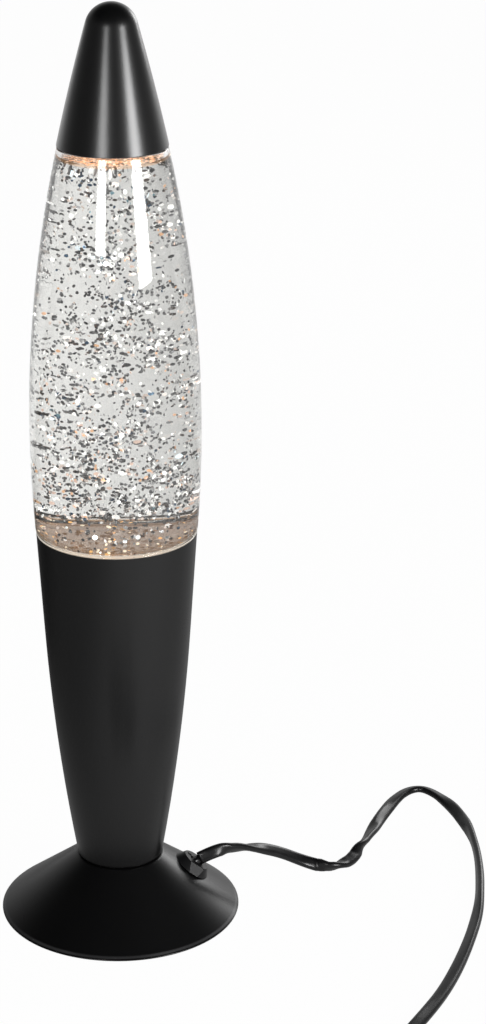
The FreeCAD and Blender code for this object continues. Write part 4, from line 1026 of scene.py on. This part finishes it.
def build_lights():
    """Two tall softboxes in front, and a weak light behind that no glass shows."""
    for name, (azimuth, wide, low, high, radiance) in SOFTBOXES.items():
        turn = math.radians(azimuth)
        place = Vector((math.sin(turn) * SOFTBOX_DISTANCE, -math.cos(turn) * SOFTBOX_DISTANCE,
                        (low + high) / 2))
        level_aim = Vector((LAMP_MIDDLE.x, LAMP_MIDDLE.y, place.z))
        energy = radiance * math.pi * wide * (high - low)
        area_light(name, place, level_aim, wide, high - low, energy)
    back_fill = area_light("back_fill", Vector((0.83, 1.2, 0.6)), LAMP_MIDDLE, 0.5, 0.5, 3.0)
    back_fill.visible_transmission = False


def build_camera():
    """The camera that was fitted to the photograph's round edges."""
    data = bpy.data.cameras.new("camera")
    data.sensor_fit = "AUTO"
    data.sensor_width = 36.0
    data.lens = FOCAL_PIXELS / PHOTO_LONG_SIDE * data.sensor_width
    data.clip_start = 0.05
    data.clip_end = 30
    yaw, pitch, roll = (math.radians(angle) for angle in CAMERA_TURNS)
    look = Vector((math.sin(yaw) * math.cos(pitch), math.cos(yaw) * math.cos(pitch),
                   -math.sin(pitch)))
    level = look.cross(UP).normalized()
    upright = level.cross(look)
    right = level * math.cos(roll) + upright * math.sin(roll)
    above = upright * math.cos(roll) - level * math.sin(roll)
    camera = bpy.data.objects.new("camera", data)
    turned = Matrix((right, above, -look)).transposed().to_4x4()
    camera.matrix_world = Matrix.Translation(CAMERA_PLACE) @ turned
    bpy.context.scene.collection.objects.link(camera)
    bpy.context.scene.camera = camera


class LAMP_OT_stage(bpy.types.Operator):
    """Set the pale floor, the soft light and the camera"""

    bl_idname = "lamp.stage"
    bl_label = "Stage"

    def execute(self, context):
        context.scene.view_settings.view_transform = "Standard"
        build_floor()
        build_walls()
        build_lights()
        build_camera()
        return {"FINISHED"}


class LAMP_OT_finishes(bpy.types.Operator):
    """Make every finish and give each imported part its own"""

    bl_idname = "lamp.finishes"
    bl_label = "Finishes"

    def execute(self, context):
        slots = {name: node.data.materials[0].name for name, node in NODES.items()}
        for material in list(bpy.data.materials):
            material.name = material.name + "_plain"
        make_finishes(context.scene.table_lamp_colours)
        for name, node in NODES.items():
            node.material_slots[0].material = bpy.data.materials[slots[name]]
        return {"FINISHED"}


class LAMP_OT_flex(bpy.types.Operator):
    """Lay the flat twin flex from the foot to the switch, and on through its coil to the plug"""

    bl_idname = "lamp.flex"
    bl_label = "Flex"

    def execute(self, context):
        sizes = context.scene.table_lamp_sizes
        lay_lamp_flex(sizes)
        put_flex_away(sizes)
        lay_inner_flex(sizes)
        return {"FINISHED"}


class LAMP_OT_liquid(bpy.types.Operator):
    """Fill the bottle with its liquid"""

    bl_idname = "lamp.liquid"
    bl_label = "Liquid"

    def execute(self, context):
        fill_bottle()
        return {"FINISHED"}


class LAMP_OT_glitter(bpy.types.Operator):
    """Drift the glitter flakes through the liquid"""

    bl_idname = "lamp.glitter"
    bl_label = "Glitter"

    def execute(self, context):
        drift_flakes(context.scene.table_lamp_sizes)
        return {"FINISHED"}


class LAMP_OT_foam(bpy.types.Operator):
    """Make the foam pad, the foam ring in the cap and the closure's seal"""

    bl_idname = "lamp.foam"
    bl_label = "Foam"

    def execute(self, context):
        foam_piece("foot_pad", "non_slip_pad", -0.1 * MM, "base", disc=True)
        foam_piece("grip_foam", "cap_grip_ring", 0.0, "cap")
        foam_piece("closure_seal", "closure_liner", 0.05 * MM, "bottle", disc=True)
        return {"FINISHED"}


STEPS = (
    LAMP_OT_stage, LAMP_OT_finishes, LAMP_OT_flex, LAMP_OT_liquid, LAMP_OT_glitter, LAMP_OT_foam,
)


class LAMP_PT_panel(bpy.types.Panel):
    """Buttons for each group of pieces, and the sizes and colours they use"""

    bl_idname = "LAMP_PT_panel"
    bl_label = "Glitter Table Lamp"
    bl_space_type = "VIEW_3D"
    bl_region_type = "UI"
    bl_category = "Lamp"

    def draw(self, context):
        for group in (context.scene.table_lamp_sizes, context.scene.table_lamp_colours):
            for key in group.__annotations__:
                self.layout.prop(group, key)
        for step in STEPS:
            self.layout.operator(step.bl_idname)


CLASSES = (LampSizes, LampColours, *STEPS, LAMP_PT_panel)


def register():
    for cls in CLASSES:
        bpy.utils.register_class(cls)
    bpy.types.Scene.table_lamp_sizes = PointerProperty(type=LampSizes)
    bpy.types.Scene.table_lamp_colours = PointerProperty(type=LampColours)


def unregister():
    del bpy.types.Scene.table_lamp_colours
    del bpy.types.Scene.table_lamp_sizes
    for cls in reversed(CLASSES):
        bpy.utils.unregister_class(cls)


def main():
    register()
    for step in STEPS:
        group, name = step.bl_idname.split(".")
        getattr(getattr(bpy.ops, group), name)()


if __name__ == "__main__":
    main()
